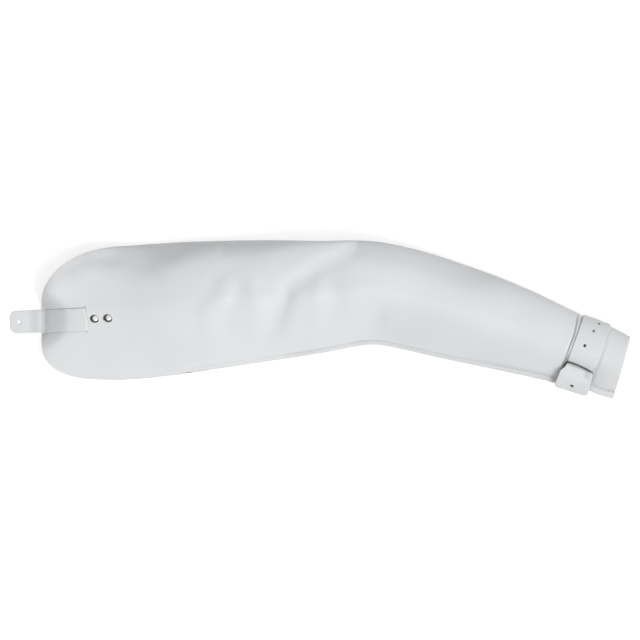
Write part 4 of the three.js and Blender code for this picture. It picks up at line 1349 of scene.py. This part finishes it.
def rivet_profile():
    """Radius and height from the back's middle, round the brims and the post, to the head's middle."""
    above = SLEEVE_LEATHER / 2 + HEAD_SEAT
    below = -SLEEVE_LEATHER / 2 - STRAP_LEATHER - 3 * GAP
    out = np.sin(np.linspace(DOME_START, np.pi / 2, DOME_RINGS))
    back = np.stack([BACK[0] * out, below - BACK_EDGE - BACK[1] * (1 - out**2)], -1)
    head = np.stack([HEAD[0] * out, above + HEAD_EDGE + HEAD[1] * (1 - out**2)], -1)[::-1]
    post = [(BACK[0], below), (POST, below), (POST, above)]
    return np.concatenate([back, post, np.array(BRIM) + [0, above], head])


def add_rivet(number, from_end):
    """One rivet: the profile turned round the cap's normal at its place along the tab."""
    place = tab_plan(np.array([float(from_end)]), np.zeros(1))[0]
    around = place + RIVET_REACH * np.array([[1, 0], [-1, 0], [0, 1], [0, -1], [0, 0]])
    east, west, north, south, here = cap_height(around)
    normal = unit(np.array([west - east, south - north, 2 * RIVET_REACH]))
    x_axis = unit(np.cross([0, 1, 0], normal))
    axes = np.stack([x_axis, np.cross(normal, x_axis), normal])
    profile = rivet_profile()
    turn = full_turn(RIVET_SIDES)
    x, y = profile[:, 0:1] * np.cos(turn), profile[:, 0:1] * np.sin(turn)
    z = np.broadcast_to(profile[:, 1:2], x.shape)
    points = np.array([*place, here]) + np.stack([x, y, z], -1).reshape(-1, 3) @ axes
    return put_mesh(f"rivet_{number}", points, closed_tube(len(profile), RIVET_SIDES), {})


rivets = [add_rivet(number + 1, from_end) for number, from_end in enumerate(RIVET_AT)]

# %% [markdown]
# ## Finishes
# White leather is never one flat white. A pebbled grain catches the light, the tone drifts from place to
# place, cut edges show raw fibre, and the inside is matt and warmer. Shade is painted into the colour in
# creases, grooves and holes and where leather lies on leather. All of it is worked out from Object
# coordinates and from the values stored on each mesh.

# %% Node helpers
NOISE_SPAN = (0.3, 0.7)  # nearly all values of a noise lie in this range


def math_node(tree, operation, first, second):
    """The result of one sum, product or the like."""
    return add_node(tree, "ShaderNodeMath", {0: first, 1: second}, operation=operation).outputs[0]


def mixed(tree, share, first, second):
    """Colour between two colours by a share from 0 to 1."""
    made = add_node(tree, "ShaderNodeMix", {0: share, 6: first, 7: second}, data_type="RGBA")
    return made.outputs[2]


def new_finish(name):
    """An empty material: its node tree, its shader and the Object coordinates."""
    finish = bpy.data.materials.new(name)
    finish.use_nodes = True
    tree = finish.node_tree
    where = tree.nodes.new("ShaderNodeTexCoord").outputs["Object"]
    return finish, tree, tree.nodes["Principled BSDF"], where


def stored(tree, name):
    """A value stored on the mesh's vertices."""
    return add_node(tree, "ShaderNodeAttribute", {}, attribute_name=name).outputs["Fac"]


def noise(tree, where, scale, detail):
    """A noise between 0 and 1: scale is how many of its spots lie in a metre."""
    inputs = {"Vector": where, "Scale": scale, "Detail": detail}
    return add_node(tree, "ShaderNodeTexNoise", inputs).outputs[0]


def cells(tree, where, scale, feature):
    """Distance in a pattern of cells, from a cell's middle or from its border."""
    inputs = {"Vector": where, "Scale": scale}
    return add_node(tree, "ShaderNodeTexVoronoi", inputs, feature=feature).outputs["Distance"]


def bump(tree, height, strength, depth):
    """Normals turned by a fine relief, whose depth is in metres."""
    inputs = {"Height": height, "Strength": strength, "Distance": depth}
    return add_node(tree, "ShaderNodeBump", inputs).outputs["Normal"]


# %% [markdown]
# The sleeve's leather is soft and pebbled, and the straps are firmer and smoother. One finish serves both,
# with another size of grain. The pebbles are a pattern of cells, the lines between them the borders of a
# wider one, and the pores a noise. A photograph of leather would repeat, and these patterns never do.

# %% White leather
BORDER_SHARE = 0.62  # how many borders there are for a pebble
BORDER_WIDTH = 0.16
PORE_SHARE = 2.6
PORE_DETAIL = 3
DRIFT = (14, 5)  # scale and detail of a noise
DRIFT_SPAN = (0.35, 0.68)
RUBBED = (55, 4)
PEBBLE_HEIGHT = -0.7  # the distance from a pebble's middle grows outwards, so its height falls
PORE_HEIGHT = 0.6
RELIEF = (0.22, 0.00012)  # strength, and depth in metres
DARKENED_SHARE = 0.82  # the darkening takes the darker tone down to this share: painted shade in creases and grooves, and a darker seam margin
RAW = (0.35, 0.8)  # how much fibre shows on an edge that is rubbed little, and much
INSIDE_SHARE = 0.8
INSIDE_ROUGH = 0.3
HOLE_SHADE = (0.5, 0.5)  # painted shade in a hole, and more towards the leather's inner side besides
POLISH = (-0.06, 0.1)  # how far the roughness goes down and up
LEATHER_SHINE = 0.32
FIBRE = (0.62, 0.62, 0.61, 1)
INSIDE = (0.66, 0.64, 0.61, 1)
# Near-black, for the painted shade under other leather, in holes and in painted shadow lines
PAINTED_SHADE = (0.03, 0.03, 0.03, 1)


def leather_finish(name, tone, shade, grain, roughness):
    """Leather: pebbles from a cell pattern with pores in between, a drifting tone, raw cut edges, painted
    shade in creases, holes and under other leather, and a matt inside. grain is the size of a pebble in
    metres."""
    finish, tree, shader, where = new_finish(name)
    pebbles = cells(tree, where, 1 / grain, "F1")
    borders = cells(tree, where, BORDER_SHARE / grain, "DISTANCE_TO_EDGE")
    pores = noise(tree, where, PORE_SHARE / grain, PORE_DETAIL)
    drift = noise(tree, where, *DRIFT)
    rubbed = noise(tree, where, *RUBBED)
    inside = stored(tree, "inside")

    lines = spread(tree, borders, 0.0, BORDER_WIDTH)
    grain_height = math_node(tree, "ADD", math_node(tree, "MULTIPLY", pebbles, PEBBLE_HEIGHT), lines)
    grain_height = math_node(tree, "ADD", grain_height, math_node(tree, "MULTIPLY", pores, PORE_HEIGHT))

    colour = mixed(tree, spread(tree, drift, *DRIFT_SPAN), tone, shade)
    # Painted shade in creases, grooves and below the toe bar, and a darker seam margin, mix towards this
    # darker tone
    darkened_tone = tuple(DARKENED_SHARE * c for c in shade[:3]) + (1,)
    colour = mixed(tree, stored(tree, "painted_shade_and_tint"), colour, darkened_tone)
    raw = math_node(tree, "MULTIPLY", stored(tree, "cut"), spread(tree, rubbed, *NOISE_SPAN, *RAW))
    colour = mixed(tree, raw, colour, FIBRE)
    colour = mixed(tree, math_node(tree, "MULTIPLY", inside, INSIDE_SHARE), colour, INSIDE)
    # Painted shade in a hole: half at the outer face, full at the inner one
    deep = math_node(tree, "ADD", math_node(tree, "MULTIPLY", inside, HOLE_SHADE[1]), HOLE_SHADE[0])
    shade_in_hole = math_node(tree, "MULTIPLY", stored(tree, "hole"), deep)
    # Painted shade: the stored shade value or a hole's shade, whichever is larger, takes the colour towards
    # near-black
    soiled = math_node(tree, "MAXIMUM", stored(tree, "painted_shade"), shade_in_hole)

    polish = spread(tree, rubbed, *NOISE_SPAN, roughness + POLISH[0], roughness + POLISH[1])
    inputs = {
        "Base Color": mixed(tree, soiled, colour, PAINTED_SHADE),
        "Roughness": math_node(tree, "ADD", polish, math_node(tree, "MULTIPLY", inside, INSIDE_ROUGH)),
        "Normal": bump(tree, grain_height, *RELIEF),
        "Specular IOR Level": LEATHER_SHINE,
    }
    connect(tree, shader, inputs)
    return finish


sleeve_tones = (0.66, 0.667, 0.675, 1), (0.636, 0.644, 0.653, 1)
strap_tones = (0.655, 0.667, 0.67, 1), (0.632, 0.644, 0.65, 1)
sleeve_leather = leather_finish("white_grain_leather", *sleeve_tones, grain=0.0013, roughness=0.5)
strap_leather = leather_finish("white_strap_leather", *strap_tones, grain=0.0009, roughness=0.44)
print("leathers:", sleeve_leather.name, strap_leather.name)

# %% [markdown]
# The rivets are bright nickel plate and the buckle's wire is darker. Both are metal with fine scratches in
# the polish, so one function makes them. The thread is matt, and bands of a wave stand for its twist.

# %% Metal and thread
SCRATCHES = (1800, 4)
SCRATCH_ROUGH = (-0.05, 0.08)
SCRATCH_RELIEF = (0.08, 0.00003)
CLOUDS = (260, 3)
CLOUD_SPAN = (0.4, 0.65)
DULL = 0.8  # clouds take the tone down to this share
TWIST = {"Scale": 420, "Distortion": 1.5}
THREAD_ROUGH = 0.75


def metal_finish(name, colour, roughness):
    """Plated metal: fine scratches in its polish and a faint change of tone."""
    finish, tree, shader, where = new_finish(name)
    scratches = noise(tree, where, *SCRATCHES)
    clouds = noise(tree, where, *CLOUDS)
    dull = tuple(DULL * c for c in colour[:3]) + (1,)
    smoother, rougher = SCRATCH_ROUGH
    inputs = {
        "Base Color": mixed(tree, spread(tree, clouds, *CLOUD_SPAN), colour, dull),
        "Roughness": spread(tree, scratches, *NOISE_SPAN, roughness + smoother, roughness + rougher),
        "Normal": bump(tree, scratches, *SCRATCH_RELIEF),
        "Metallic": 1,
    }
    connect(tree, shader, inputs)
    return finish


def thread_finish(name, light, dark):
    """White sewing thread: the twist shows as fine slanting bands."""
    finish, tree, shader, where = new_finish(name)
    twist = add_node(tree, "ShaderNodeTexWave", {"Vector": where, **TWIST}).outputs["Fac"]
    connect(tree, shader, {"Base Color": mixed(tree, twist, light, dark), "Roughness": THREAD_ROUGH})
    return finish


nickel = metal_finish("bright_nickel", (0.66, 0.655, 0.64, 1), 0.14)
dark_wire = metal_finish("dark_wire", (0.13, 0.13, 0.13, 1), 0.3)
thread = thread_finish("white_thread", (0.74, 0.74, 0.73, 1), (0.6, 0.6, 0.59, 1))
print("metals and thread:", nickel.name, dark_wire.name, thread.name)

# %% [markdown]
# ## Floor
# The protector lies on a seamless white studio floor. A plane that is far larger than the object has no
# edge in any view. A little light of its own keeps it near white, and the soft shadow still shows on it.

# %% Pale floor
FLOOR_REACH = 15000.0
FLOOR_TONES = ((0.68, 0.68, 0.68, 1), (0.66, 0.66, 0.66, 1))
FLOOR_SCALE = 3
FLOOR_ROUGH = 0.9
FLOOR_SHINE = 0.1
FLOOR_GLOW = 0.5
WHITE = (1, 1, 1, 1)


def add_floor():
    """A pale matt floor, with a little light of its own."""
    square = np.array([[-1, -1, 0], [1, -1, 0], [1, 1, 0], [-1, 1, 0]])
    floor = put_mesh("floor", FLOOR_REACH * square, np.array([[0, 1, 2, 3]]), {})
    finish, tree, shader, where = new_finish("pale_floor")
    faint = add_node(tree, "ShaderNodeTexNoise", {"Vector": where, "Scale": FLOOR_SCALE}).outputs[0]
    inputs = {
        "Base Color": mixed(tree, faint, *FLOOR_TONES),
        "Roughness": FLOOR_ROUGH,
        "Specular IOR Level": FLOOR_SHINE,
        "Emission Color": WHITE,
        "Emission Strength": FLOOR_GLOW,
    }
    connect(tree, shader, inputs)
    floor.data.materials.append(finish)


add_floor()

# %% [markdown]
# ## Put it together
# Every piece rides on the one body of this object and stands for a solid of the frame.

# %% Finish and place the pieces
DRESSING = [
    # piece, finish, slot, solid that it stands for
    (sleeve, sleeve_leather, "sleeve_leather", "sleeve"),
    (tab, strap_leather, "strap_leather", "shoulder_tab"),
    (rivets[0], nickel, "nickel", "shoulder_rivet_1"),
    (rivets[1], nickel, "nickel", "shoulder_rivet_2"),
    (strap, strap_leather, "strap_leather", "wrist_strap"),
    (buckle, dark_wire, "nickel", "buckle_frame"),
    (prong, dark_wire, "nickel", "buckle_prong"),
    (stitches, thread, "sleeve_leather", None),
]
for piece, finish, slot, node in DRESSING:
    piece.data.materials.append(finish)
    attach(piece, "root")
    if node:
        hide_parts(node)
